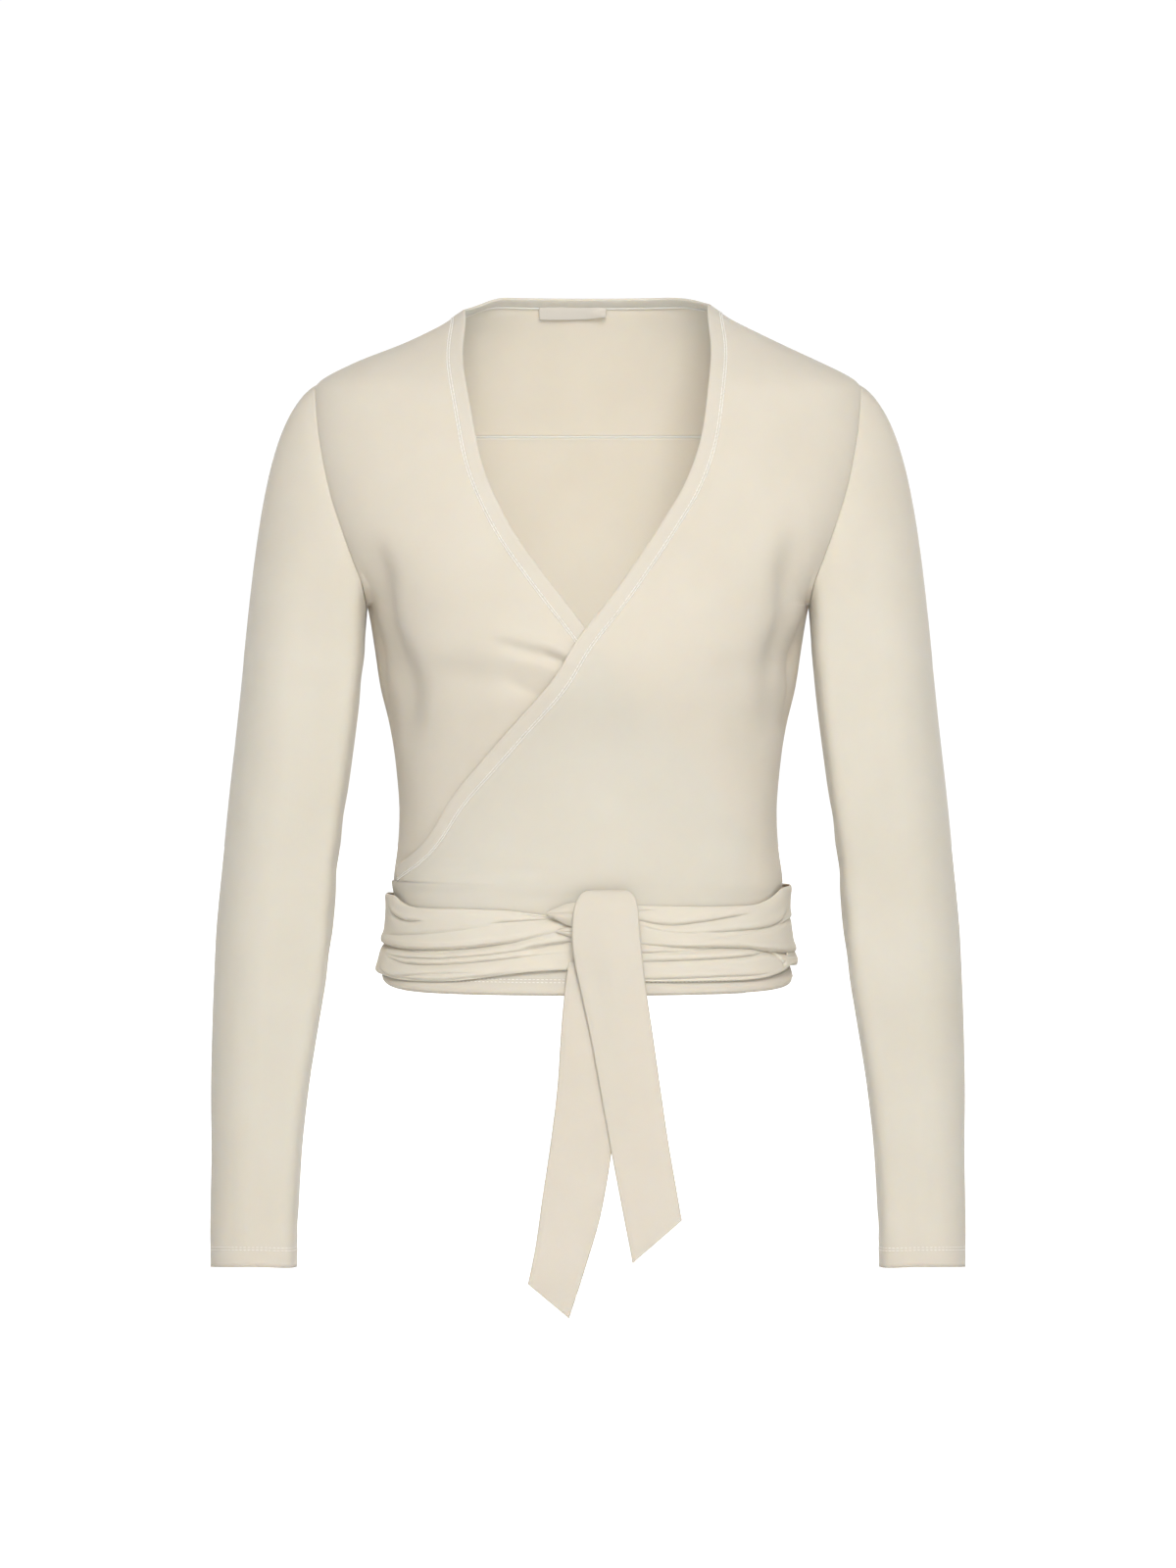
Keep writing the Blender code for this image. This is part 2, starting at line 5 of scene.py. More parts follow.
import bpy
import numpy as np
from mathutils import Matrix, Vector


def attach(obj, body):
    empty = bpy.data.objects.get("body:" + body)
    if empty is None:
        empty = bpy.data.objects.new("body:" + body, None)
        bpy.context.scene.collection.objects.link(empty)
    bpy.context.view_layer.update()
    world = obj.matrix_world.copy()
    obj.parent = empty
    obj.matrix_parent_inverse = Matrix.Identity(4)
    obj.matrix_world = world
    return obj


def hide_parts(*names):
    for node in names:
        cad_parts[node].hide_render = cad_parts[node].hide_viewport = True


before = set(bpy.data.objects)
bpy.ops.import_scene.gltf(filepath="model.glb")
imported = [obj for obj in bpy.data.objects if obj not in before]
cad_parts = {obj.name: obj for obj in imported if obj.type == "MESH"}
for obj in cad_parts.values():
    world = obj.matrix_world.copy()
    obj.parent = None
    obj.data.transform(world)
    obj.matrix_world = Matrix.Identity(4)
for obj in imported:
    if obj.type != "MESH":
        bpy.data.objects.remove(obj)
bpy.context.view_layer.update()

# ---- sizes ----
CLOTH = 0.0008
HEM_HEIGHT = -0.468
HEM_FOLD = 0.0105
UNDERARM = -0.205
SHOULDER = -0.051
YOKE_SEAM = -0.085
NECK_POINT = -0.0015
BACK_NECK_RISE = 0.0068
NECK_DROP = 0.0038
NECK_SPREAD = 0.0020
BAND_WIDTH = 0.0098
LAYER_LIFT = 0.0026
END_LIFT = -0.0012
SASH_LIFT = 0.0046
SASH_WALL = 0.0012
TAIL_WALL = 0.0016
FOLD_WALL = 0.0015
UNDER_FOLD_WALL = 0.0013
CUFF_FOLD = 0.0140
ROW_GAP = 0.0020
SEAM_GAP = 0.0002
PATH_STEP = 0.0016


# ---- tables of the form ----
def table(columns, plain, *rows):
    """Named rows: lengths written in millimetres and kept in metres, and plain columns kept as written."""
    kind = namedtuple("Row", columns)
    lengths = set(columns.split()) - set(plain.split())
    return tuple(
        kind(*(value / 1000.0 if name in lengths else value for name, value in zip(kind._fields, row)))
        for row in rows
    )


TORSO = table("height half_width front back power", "power",
    (-475, 146.5, 102, 101.5, 2.3),
    (-468, 144.8, 101, 100, 2.3),
    (-455, 140.5, 99, 97.5, 2.3),
    (-440, 136.8, 97.5, 94.5, 2.3),
    (-425, 134.5, 96, 91, 2.28),
    (-409, 133.7, 94.5, 87.5, 2.26),
    (-396, 135.2, 93.5, 85, 2.25),
    (-382, 133.5, 92.5, 82, 2.25),
    (-369, 131.8, 92, 80.5, 2.25),
    (-348, 130.8, 93, 79, 2.25),
    (-314, 133.3, 98, 82, 2.27),
    (-287, 137.7, 106, 86, 2.3),
    (-260, 144.2, 116, 90, 2.34),
    (-233, 148.2, 121.5, 93, 2.38),
    (-205, 153, 120, 95, 2.46),
    (-190, 160, 117.5, 95.8, 2.5),
    (-175, 168, 113, 96.3, 2.56),
    (-150, 180, 105.5, 96.5, 2.62),
    (-125, 187, 96.5, 95.5, 2.62),
    (-100, 191, 86.5, 93, 2.54),
    (-75, 192.5, 76, 89.5, 2.32),
    (-51, 189, 66, 84.5, 2.04),
    (-42, 173.7, 61, 82.5, 1.96),
    (-28.6, 145, 51, 79, 2.0),
    (-15, 116.5, 39, 74.5, 2.1),
    (-1.5, 91, 26, 69, 2.25),
    (6, 85, 20, 66, 2.25),
)
REACH = ("height across", "")
ARMHOLE = table(*REACH,
    (-205, 153), (-190, 155.2), (-175, 160.5), (-150, 169.5),
    (-125, 177.5), (-100, 183), (-75, 187), (-51, 189),
)
OVER_NECKLINE = table(*REACH,
    (-393.5, -134.4), (-384.5, -118.1), (-367.7, -101.3), (-340.5, -84.8),
    (-316.2, -64.5), (-289.2, -41.7), (-256, -13.2), (-233.3, 0),
    (-206.3, 21.7), (-175.5, 43.6), (-152, 59), (-123.3, 75.8),
    (-89, 87.3), (-63.1, 91), (-28.1, 94.3), (-1.5, 91),
)
UNDER_NECKLINE = table(*REACH,
    (-380, -109), (-367.7, -100), (-340.5, -83), (-316.2, -63),
    (-289.2, -40), (-256, -12.5), (-228, 7.3), (-182.3, 42.3),
    (-152, 63), (-104.5, 83.2), (-63.3, 90.5), (-28.1, 94),
    (-1.5, 91),
)
SLEEVE = table("height centre half_width half_depth forward", "",
    (-240, 197.2, 41.3, 47, -2),
    (-285, 202.2, 41, 47, -1),
    (-340, 208.8, 40.4, 46, 3),
    (-381, 213.4, 39.7, 44.5, 6),
    (-421, 216.9, 40, 43.5, 10),
    (-461, 220.2, 38.6, 41.5, 15),
    (-501, 224, 36, 38.5, 20),
    (-541, 227.2, 33.3, 35, 25),
    (-586, 229.1, 30.8, 31.7, 31),
    (-646, 230.7, 29.8, 29.3, 36),
    (-660, 230.7, 29.5, 29, 37),
)
Leaving = namedtuple("Leaving", "outward sideways down start_pull end_pull")
CAP_TOP = Leaving(0.885, 0.0, -0.465, 0.54, 1.50)
CAP_SIDE = Leaving(0.740, 0.14, -0.620, 0.50, 0.90)
CAP_UNDER = Leaving(0.100, 0.0, -0.995, 0.40, 0.60)


# ---- maths ----
def hermite(t, start, leave, end, arrive):
    """A cubic from start to end, with its tangents at both."""
    return (start * (2 * t**3 - 3 * t**2 + 1) + leave * (t**3 - 2 * t**2 + t)
            + end * (3 * t**2 - 2 * t**3) + arrive * (t**3 - t**2))


def curve(table, key, column, at, blur=0.0):
    """A smooth column of a table at the given keys: a monotone cubic through the rows, softened by blur."""
    rows = sorted(table, key=lambda row: getattr(row, key))
    x = np.array([getattr(row, key) for row in rows])
    y = np.array([getattr(row, column) for row in rows])
    slope = np.diff(y) / np.diff(x)
    tangent = np.concatenate([slope[:1], np.zeros(len(x) - 2), slope[-1:]])
    same = slope[:-1] * slope[1:] > 0.0
    both = slope[:-1] + slope[1:]
    tangent[1:-1][same] = (2.0 * slope[:-1] * slope[1:])[same] / both[same]

    def value(places):
        places = np.clip(places, x[0], x[-1])
        k = np.clip(np.searchsorted(x, places, side="right") - 1, 0, len(x) - 2)
        step = x[k + 1] - x[k]
        return hermite((places - x[k]) / step, y[k], tangent[k] * step, y[k + 1], tangent[k + 1] * step)

    at = np.asarray(at, float)
    if not blur:
        return value(at)
    offsets = np.linspace(-2.2, 2.2, 13)
    weights = np.exp(-0.5 * offsets**2)
    total = sum(w * value(at + o * blur) for w, o in zip(weights, offsets))
    return total / weights.sum()


def ease(low, high, value):
    """Zero below low, one above high, smooth between."""
    t = np.clip((np.asarray(value, float) - low) / (high - low), 0.0, 1.0)
    return t * t * (3.0 - 2.0 * t)


def bump(centre, width, value):
    """A soft bell of height one."""
    return np.exp(-0.5 * ((np.asarray(value, float) - centre) / width) ** 2)


def bent(value, power):
    """A sine or cosine bent onto a squarer oval."""
    return np.sign(value) * np.abs(value) ** (2.0 / power)


def columns_at(rows, key, at, blur, names):
    """Several columns of a table at the given keys."""
    return [curve(rows, key, name, at, blur) for name in names.split()]


def section(height):
    """The torso's oval at these heights."""
    return columns_at(TORSO, "height", height, 0.004, "half_width front back power")


def on_form(height, turn):
    """Points of the torso form: turn 0 is the wearer's left, a quarter turn the front, half the right.

    The right neck corner hangs a little lower and wider than the left one, as in the photo.
    """
    height, turn = np.broadcast_arrays(np.asarray(height, float), np.asarray(turn, float))
    half_width, front, back, power = section(height)
    deep = bent(np.sin(turn), power)
    x, y = half_width * bent(np.cos(turn), power), -deep * np.where(deep >= 0.0, front, back)
    near = ease(-0.066, -0.086, x) * ease(-0.165, -0.115, x) * ease(-0.085, -0.020, height)
    return np.stack([x - NECK_SPREAD * near, y, height - NECK_DROP * near], axis=-1)


def unit(vectors):
    """Vectors of length one."""
    return vectors / np.maximum(np.linalg.norm(vectors, axis=-1, keepdims=True), 1e-12)


def form_normal(height, turn):
    """Outward directions of the torso form."""
    step = 0.006
    along = on_form(height, turn + step) - on_form(height, turn - step)
    up = on_form(height + step, turn) - on_form(height - step, turn)
    return unit(np.cross(up, along))


def lifted(height, turn, lift):
    """Points held off the torso form."""
    return on_form(height, turn) + form_normal(height, turn) * np.asarray(lift)[..., None]


def turn_at(height, across):
    """The front turn at which the form has this distance across."""
    half_width, _, _, power = section(height)
    share = np.minimum(1.0, np.abs(across) / half_width)
    return np.arccos(np.sign(across) * share ** (power / 2.0))


def armhole_turn(height):
    """The turn of the armhole seam from the side line, zero away from the armhole."""
    height = np.asarray(height, float)
    inside = (height > UNDERARM) & (height < SHOULDER)
    turn = turn_at(height, curve(ARMHOLE, "height", "across", height))
    near = np.minimum(ease(UNDERARM, UNDERARM + 0.002, height), ease(SHOULDER, SHOULDER - 0.003, height))
    return np.where(inside, turn * near, 0.0)


SIDE_TURN = 0.0006


def outer_turn(height):
    """Where a body panel ends at its side: side seam, armhole seam or shoulder seam."""
    return np.maximum(armhole_turn(height), SIDE_TURN)


def neck_turn(neckline, height):
    """The front turn of a neckline."""
    return turn_at(height, curve(neckline, "height", "across", height, 0.005))


def over_turn(height):
    """Where the upper front ends: its neckline, or its tucked end under the sash."""
    height = np.asarray(height, float)
    neckline = neck_turn(OVER_NECKLINE, height)
    tucked = np.radians(176.0) + np.radians(10.0) * ease(-0.3945, -0.4150, height)
    return np.where(height < OVER_NECKLINE[0].height, tucked, neckline)


def under_turn(height):
    """Where the lower front ends: its neckline, then its hidden tip."""
    return np.pi - neck_turn(UNDER_NECKLINE, height)


def over_lift(height, turn):
    """How far the upper front rides over the lower one: nothing at its own seams."""
    side = ease(0.0, 0.50, turn - outer_turn(height))
    chest = 1.0 - ease(-0.185, -0.090, height)
    pressed = 1.0 - 0.5 * ease(-0.394, -0.404, height) * ease(-0.466, -0.456, height)
    return (LAYER_LIFT + END_LIFT * ease(2.4, 2.9, turn)) * side * chest * pressed


def under_sink(height, turn):
    """The lower front lies a little inside the form where the upper one covers it."""
    covered = ease(0.0, 0.30, over_turn(height) - turn - 0.06) * ease(-0.180, -0.215, height)
    return -0.0010 * covered * ease(0.0, 0.40, np.pi - turn)


# ---- cloth meshes ----
def grid_faces(rows, columns, closed):
    """Quads of a grid, wound so that rows crossed with columns points outward."""
    count = columns if closed else columns - 1
    r, c = np.meshgrid(np.arange(rows - 1), np.arange(count), indexing="ij")
    beside = (c + 1) % columns
    corners = [r * columns + c, (r + 1) * columns + c, (r + 1) * columns + beside, r * columns + beside]
    return np.stack([corner.ravel() for corner in corners], axis=1)


def grid_mesh(name, points, closed=False, capped=False):
    """A mesh from rows of points, with a UV map that is in metres along the cloth."""
    rows, columns, _ = points.shape
    faces = grid_faces(rows, columns, closed)
    corners = faces.ravel()
    starts = np.arange(len(faces)) * 4
    if capped:
        ring = np.arange(columns)
        corners = np.concatenate([corners, ring, (rows - 1) * columns + ring[::-1]])
        starts = np.concatenate([starts, [faces.size, faces.size + columns]])
    mesh = bpy.data.meshes.new(name)
    mesh.vertices.add(rows * columns)
    mesh.vertices.foreach_set("co", points.reshape(-1).astype(np.float32))
    mesh.loops.add(len(corners))
    mesh.loops.foreach_set("vertex_index", corners.astype(np.int32))
    mesh.polygons.add(len(starts))
    mesh.polygons.foreach_set("loop_start", starts.astype(np.int32))
    mesh.polygons.foreach_set("use_smooth", np.arange(len(starts)) < len(faces))
    mesh.update(calc_edges=True)
    wrapped = np.concatenate([points, points[:, :1]], axis=1) if closed else points
    across = np.linalg.norm(np.diff(wrapped, axis=1), axis=-1)
    along = np.linalg.norm(np.diff(wrapped, axis=0), axis=-1)
    u = np.concatenate([np.zeros((rows, 1)), np.cumsum(across, axis=1)], axis=1)
    v = np.concatenate([np.zeros((1, wrapped.shape[1])), np.cumsum(along, axis=0)], axis=0)
    r, c = np.meshgrid(np.arange(rows - 1), np.arange(wrapped.shape[1] - 1), indexing="ij")
    around = ((r, c), (r + 1, c), (r + 1, c + 1), (r, c + 1))
    places = np.stack([np.stack([u[i, j], v[i, j]], axis=-1).reshape(-1, 2) for i, j in around], axis=1)
    flat = np.zeros(2 * len(corners), np.float32)
    flat[: places.size] = places.reshape(-1)
    layer = mesh.uv_layers.new(name="cloth")
    layer.data.foreach_set("uv", flat)
    return mesh


def placed(name, data):
    """A new object in the scene."""
    made = bpy.data.objects.new(name, data)
    bpy.context.scene.collection.objects.link(made)
    return made


def piece(name, mesh, material, node=None):
    """An object of the top, riding on the one body."""
    made = placed(name, mesh)
    mesh.materials.append(material)
    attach(made, "root")
    if node:
        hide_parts(node)
    return made


def walled(made, wall):
    """Gives a sheet its thickness, inwards."""
    solid = made.modifiers.new("wall", "SOLIDIFY")
    solid.thickness = wall
    solid.offset = -1.0
    return solid


def cloth(name, points, material, node, wall=CLOTH, folded=None, closed=False):
    """A cloth wall on rows of points. The rows in folded are doubled cloth, as thick as folded says."""
    made = piece(name, grid_mesh(name, points, closed), material, node)
    solid = walled(made, wall)
    if folded:
        rows, thick = folded
        columns = points.shape[1]
        group = made.vertex_groups.new(name="folded")
        group.add([int(r * columns + c) for r in rows for c in range(columns)], 1.0, "REPLACE")
        solid.thickness = thick
        solid.vertex_group = "folded"
        solid.thickness_vertex_group = wall / thick
    return made


def rows_between(*parts):
    """Row heights from (start, end, count) parts, ends shared."""
    runs = [np.linspace(start, end, count, endpoint=False) for start, end, count in parts]
    return np.concatenate(runs + [[parts[-1][1]]])


def eased_columns(count):
    """Column shares that crowd gently towards both edges."""
    even = np.linspace(0.0, 1.0, count)
    return 0.65 * even + 0.35 * (0.5 - 0.5 * np.cos(np.pi * even))


# ---- materials ----
class Nodes:
    """Short ways to build one shader."""

    def __init__(self, name):
        self.material = bpy.data.materials.new(name)
        self.material.use_nodes = True
        self.tree = self.material.node_tree
        self.shader = self.tree.nodes["Principled BSDF"]

    def add(self, kind, **values):
        node = self.tree.nodes.new(kind)
        for name, value in values.items():
            if name in node.inputs:
                node.inputs[name].default_value = value
            else:
                setattr(node, name, value)
        return node

    def link(self, start, end):
        self.tree.links.new(start, end)

    def shade(self, **values):
        """Constants of the surface, with underscores for the spaces of their names."""
        for name, value in values.items():
            self.shader.inputs[name.replace("_", " ")].default_value = value

    def raise_by(self, height, strength, distance):
        """Fine relief of the surface."""
        relief = self.add("ShaderNodeBump", Strength=strength, Distance=distance)
        self.link(height, relief.inputs["Height"])
        self.link(relief.outputs["Normal"], self.shader.inputs["Normal"])

    def math(self, operation, first, second):
        node = self.add("ShaderNodeMath", operation=operation)
        for socket, value in zip(node.inputs, (first, second)):
            if isinstance(value, (int, float)):
                socket.default_value = value
            else:
                self.link(value, socket)
        return node.outputs[0]


def jersey(name, pale, deep):
    """Fine viscose jersey: soft sheen, knit wales too fine to count, a faint cloudiness of tone."""
    n = Nodes(name)
    place = n.add("ShaderNodeTexCoord")
    clouds = n.add("ShaderNodeTexNoise", Scale=14.0, Detail=3.0, Roughness=0.55)
    n.link(place.outputs["Object"], clouds.inputs["Vector"])
    tone = n.add("ShaderNodeMix", data_type="RGBA")
    tone.inputs[6].default_value = (*deep, 1.0)
    tone.inputs[7].default_value = (*pale, 1.0)
    spread = n.add("ShaderNodeMapRange")
    spread.inputs["From Min"].default_value = 0.25
    spread.inputs["From Max"].default_value = 0.70
    n.link(clouds.outputs["Fac"], spread.inputs["Value"])
    n.link(spread.outputs["Result"], tone.inputs[0])
    n.link(tone.outputs[2], n.shader.inputs["Base Color"])
    stitches = n.add("ShaderNodeMapping")
    stitches.inputs["Scale"].default_value = (1900.0, 1300.0, 1.0)
    n.link(place.outputs["UV"], stitches.inputs["Vector"])
    apart = n.add("ShaderNodeSeparateXYZ")
    n.link(stitches.outputs["Vector"], apart.inputs["Vector"])
    full_turn = 6.2832
    wale = n.math("SINE", n.math("MULTIPLY", apart.outputs["X"], full_turn), 0.0)
    course = n.math("SINE", n.math("MULTIPLY", apart.outputs["Y"], full_turn), 0.0)
    loops = n.math("ADD", n.math("MULTIPLY", wale, 0.6), n.math("MULTIPLY", course, 0.4))
    fuzz = n.add("ShaderNodeTexNoise", Scale=2600.0, Detail=2.0, Roughness=0.6)
    n.link(place.outputs["Object"], fuzz.inputs["Vector"])
    slub = n.add("ShaderNodeTexNoise", Scale=240.0, Detail=3.0, Roughness=0.6)
    n.link(place.outputs["Object"], slub.inputs["Vector"])
    height = n.math("ADD", n.math("MULTIPLY", loops, 0.25), n.math("MULTIPLY", fuzz.outputs["Fac"], 0.8))
    height = n.math("ADD", height, n.math("MULTIPLY", slub.outputs["Fac"], 1.2))
    n.raise_by(height, 0.22, 0.00022)
    n.shade(Roughness=0.88, Specular_IOR_Level=0.18, Subsurface_Weight=0.45, Subsurface_Scale=0.0022,
            Subsurface_Radius=(1.0, 0.72, 0.42), Sheen_Weight=0.22, Sheen_Roughness=0.45,
            Sheen_Tint=(1.0, 0.97, 0.90, 1.0))
    return n.material


def thread(name):
    """Sewing thread, a shade paler than the cloth."""
    n = Nodes(name)
    n.shade(Base_Color=(0.87, 0.835, 0.775, 1.0), Roughness=0.65)
    return n.material


def satin(name):
    """A woven satin label."""
    n = Nodes(name)
    place = n.add("ShaderNodeTexCoord")
    weave = n.add("ShaderNodeTexWave", wave_type="BANDS", Scale=900.0, Distortion=0.4)
    n.link(place.outputs["UV"], weave.inputs["Vector"])
    n.raise_by(weave.outputs["Fac"], 0.15, 0.0001)
    n.shade(Base_Color=(0.530, 0.480, 0.410, 1.0), Roughness=0.42, Sheen_Weight=0.1)
    return n.material


cloth_jersey = jersey("ivory_jersey", pale=(0.640, 0.592, 0.506), deep=(0.612, 0.562, 0.472))
band_jersey = jersey("band_jersey", pale=(0.645, 0.597, 0.512), deep=(0.620, 0.570, 0.480))
# Painted light: the sash is the same cloth as the rest, painted about six per cent paler to offset its
# pleat shadows, which come out too dark.
sash_jersey_painted_paler = jersey("sash_jersey_painted_paler", pale=(0.680, 0.630, 0.540), deep=(0.652, 0.600, 0.504))
# Painted highlight: the inside seam ridges are the same cloth, painted paler so that they read as lit
# lines, not as dark grooves.
seam_jersey_painted_highlight = jersey("seam_jersey_painted_highlight", pale=(0.720, 0.675, 0.600), deep=(0.700, 0.655, 0.575))
stitch_thread = thread("ivory_thread")
label_satin = satin("label_satin")

# ---- body panels ----
WAIST = -0.38
BELOW_ARM = UNDERARM - 0.002
ABOVE_ARM = UNDERARM + 0.012
BELOW_SHOULDER = SHOULDER - 0.004
CREASE = ("height across tilt length width depth", "tilt")
FRONT_CREASES = table(*CREASE,
    (-236, -37, -0.27, 27, 5.2, -2.8),
    (-242, -20, -0.46, 12, 3.4, -2.2),
    (-228, -38, -0.22, 28, 7, 1.8),
    (-254, -60, -0.1, 42, 14, -3.6),
    (-262, -42, -0.45, 16, 4.5, -1.4),
    (-208, -142, -14.0, 42, 9.8, -8.2),
    (-260, -130, -7.0, 36, 12.4, -7.6),
    (-270, -118, -7.0, 30, 20, -1.2),
    (-206, 138, 40.0, 48, 11.4, -8.2),
    (-256, 132, 9.0, 36, 15.2, -7.6),
    (-260, -106, -0.1, 34, 19, -3.2),
    (-246, 118, 0.1, 34, 18, -3.4),
    (-386, -70, 0.06, 40, 5, -0.9),
    (-398, -90, 0.05, 35, 3.5, -0.8),
    (-370, 90, -0.05, 45, 10, -0.6),
    (-396, 30, 0.02, 50, 5.5, -0.6),
    (-378, -105, 0.12, 28, 5, -1),
    (-190, -143, 0.85, 34, 9, -1.2),
    (-190, 143, -0.85, 34, 9, -1.2),
)
BACK_CREASES = table(*CREASE,
    (-390, -40, 0.05, 60, 7, -1),
    (-378, 50, -0.08, 55, 8, -0.9),
    (-360, 10, 0.02, 50, 9, -0.6),
    (-185, -135, 0.8, 34, 9, -1.2),
    (-185, 135, -0.8, 34, 9, -1.2),
    (-335, -95, 0.35, 40, 9, -0.8),
    (-335, 98, -0.3, 36, 9, -0.8),
)


def creased(height, across, creases):
    """Soft troughs and ridges: each runs along its tilt from its middle, and fades at both ends."""
    total = np.zeros(np.broadcast(height, across).shape)
    for crease in creases:
        size = np.hypot(1.0, crease.tilt)
        run = ((across - crease.across) + (height - crease.height) * crease.tilt) / size
        off = ((height - crease.height) - (across - crease.across) * crease.tilt) / size
        fade = np.exp(-((run / crease.length) ** 4))
        total = total + crease.depth * fade * np.exp(-((off / crease.width) ** 2))
    return total


def hem_line(height):
    """A fine groove at the top of the hem fold, where its seam holds the cloth down."""
    roll = -0.0016 * np.clip((HEM_HEIGHT + 0.0040 - height) / 0.0040, 0.0, 1.0) ** 2
    return roll - 0.00035 * bump(HEM_TOP, 0.0011, height)


def hem_rise(height, turn):
    """The hem turns up a little towards the side seams."""
    return 0.0062 * np.exp(-((np.sin(turn) / 0.36) ** 2)) * ease(-0.425, HEM_HEIGHT, height)


def seam_dip(height, turn):
    """Cloth rolls in a little at a side, armhole or shoulder seam."""
    return -0.0004 * np.exp(-np.abs(turn - outer_turn(height)) / 0.010)


def seam_fade(height, away):
    """Creases end at the side and armhole seams."""
    width = 0.15 - 0.10 * ease(UNDERARM - 0.01, UNDERARM + 0.01, height)
    return ease(0.0, width, away)


FRONT_ROWS = rows_between((HEM_HEIGHT, WAIST, 48), (WAIST, BELOW_ARM, 78), (BELOW_ARM, ABOVE_ARM, 20),
                          (ABOVE_ARM, BELOW_SHOULDER, 62), (BELOW_SHOULDER, SHOULDER, 8),
                          (SHOULDER, -0.0025, 26))


def folded_rows(rows, top):
    """The numbers of the rows that lie in the fold below this height."""
    return [k for k, height in enumerate(rows) if height < top - 0.0005]


HEM_TOP = HEM_HEIGHT + HEM_FOLD
HEM_ROWS = folded_rows(FRONT_ROWS, HEM_TOP)


def front_relief(turn, from_edge, edge_fade, from_seam):
    """Creases of a front, which end at its neckline, at its side seam and at its armhole."""
    height = FRONT_ROWS[:, None]
    relief = creased(height, on_form(height, turn)[..., 0], FRONT_CREASES)
    return relief * ease(0.0, edge_fade, from_edge) * seam_fade(height, from_seam)


def front_panel(node, turn, lift, fold_wall):
    """A front on its form, with its hem."""
    height = FRONT_ROWS[:, None]
    points = lifted(height + hem_rise(height, turn), turn, lift + hem_line(height))
    return cloth(node + "_cloth", points, cloth_jersey, node, folded=(HEM_ROWS, fold_wall))


def front_over():
    """The wearer's left front, on top."""
    height = FRONT_ROWS[:, None]
    start, end = outer_turn(FRONT_ROWS)[:, None], over_turn(FRONT_ROWS)[:, None]
    turn = start + (end - start) * eased_columns(132)[None, :]
    relief = front_relief(turn, end - turn, 0.25, turn - start)
    lift = over_lift(height, turn) + relief + seam_dip(height, turn)
    return front_panel("front_over", turn, lift, FOLD_WALL)


def front_under():
    """The wearer's right front, underneath: it has no creases where the sash holds it down."""
    height = FRONT_ROWS[:, None]
    start, end = under_turn(FRONT_ROWS)[:, None], np.pi - outer_turn(FRONT_ROWS)[:, None]
    turn = start + (end - start) * eased_columns(112)[None, :]
    relief = front_relief(turn, turn - start, 0.10, end - turn) * ease(-0.400, -0.385, height)
    lift = under_sink(height, turn) + relief + seam_dip(height, np.pi - turn)
    return front_panel("front_under", turn, lift, UNDER_FOLD_WALL)


def back_rise(turn):
    """The back neck climbs quickly from the neck points, then runs nearly level: nought to one."""
    return ease(-0.05, 0.74, -np.sin(turn))


def back_panel(name, rows, to_neck=False):
    """A panel across the back, up to the yoke seam or the neck."""
    seam = outer_turn(rows)
    if to_neck:
        seam[-1] = SIDE_TURN
    start, end = np.pi + seam[:, None], 2.0 * np.pi - seam[:, None]
    turn = start + (end - start) * eased_columns(120)[None, :]
    height = rows[:, None] + 0.0 * turn
    if to_neck:
        height = height + BACK_NECK_RISE * back_rise(turn) * ease(-0.040, NECK_POINT, height)
    height = height + hem_rise(height, turn)
    across = on_form(height, turn)[..., 0]
    relief = creased(height, across, BACK_CREASES) + hem_line(height)
    relief = relief - 0.0006 * np.exp(-np.minimum(turn - start, end - turn) / 0.018)
    relief = relief - 0.0005 * np.exp(-np.abs(height - YOKE_SEAM) / 0.0016)
    hem = folded_rows(rows, HEM_TOP)
    return cloth(name + "_cloth", lifted(height, turn, relief), cloth_jersey, name,
                 folded=(hem, FOLD_WALL) if hem else None)


def back_neck(turn):
    """Height of the back neck seam."""
    return NECK_POINT + BACK_NECK_RISE * back_rise(turn)


BACK_ROWS = rows_between((HEM_HEIGHT, WAIST, 44), (WAIST, BELOW_ARM, 60), (BELOW_ARM, ABOVE_ARM, 18),
                         (ABOVE_ARM, YOKE_SEAM - SEAM_GAP, 44))
YOKE_ROWS = rows_between((YOKE_SEAM + SEAM_GAP, BELOW_SHOULDER, 18), (BELOW_SHOULDER, SHOULDER, 6),
                         (SHOULDER, NECK_POINT, 34))

over_front = front_over()
under_front = front_under()
lower_back = back_panel("back_body", BACK_ROWS)
upper_back = back_panel("back_yoke", YOKE_ROWS, to_neck=True)


# ---- neckband, label and stitches ----
def even_path(points, *others, step=PATH_STEP):
    """The same path with even spacing, and other values carried along it."""
    gaps = np.linalg.norm(np.diff(points, axis=0), axis=1)
    run = np.concatenate([[0.0], np.cumsum(gaps)])
    count = max(3, int(round(run[-1] / step)))
    at = np.linspace(0.0, run[-1], count + 1)
    carried = [points, *others]
    return [np.stack([np.interp(at, run, values[:, k]) for k in range(3)], axis=1) for values in carried]


def soften(values, reach):
    """A running mean along a path that keeps its ends."""
    padded = np.concatenate([np.repeat(values[:1], reach, 0), values, np.repeat(values[-1:], reach, 0)])
    kernel = np.hanning(2 * reach + 3)[1:-1]
    kernel /= kernel.sum()
    return np.stack([np.convolve(column, kernel, mode="valid") for column in padded.T], axis=1)


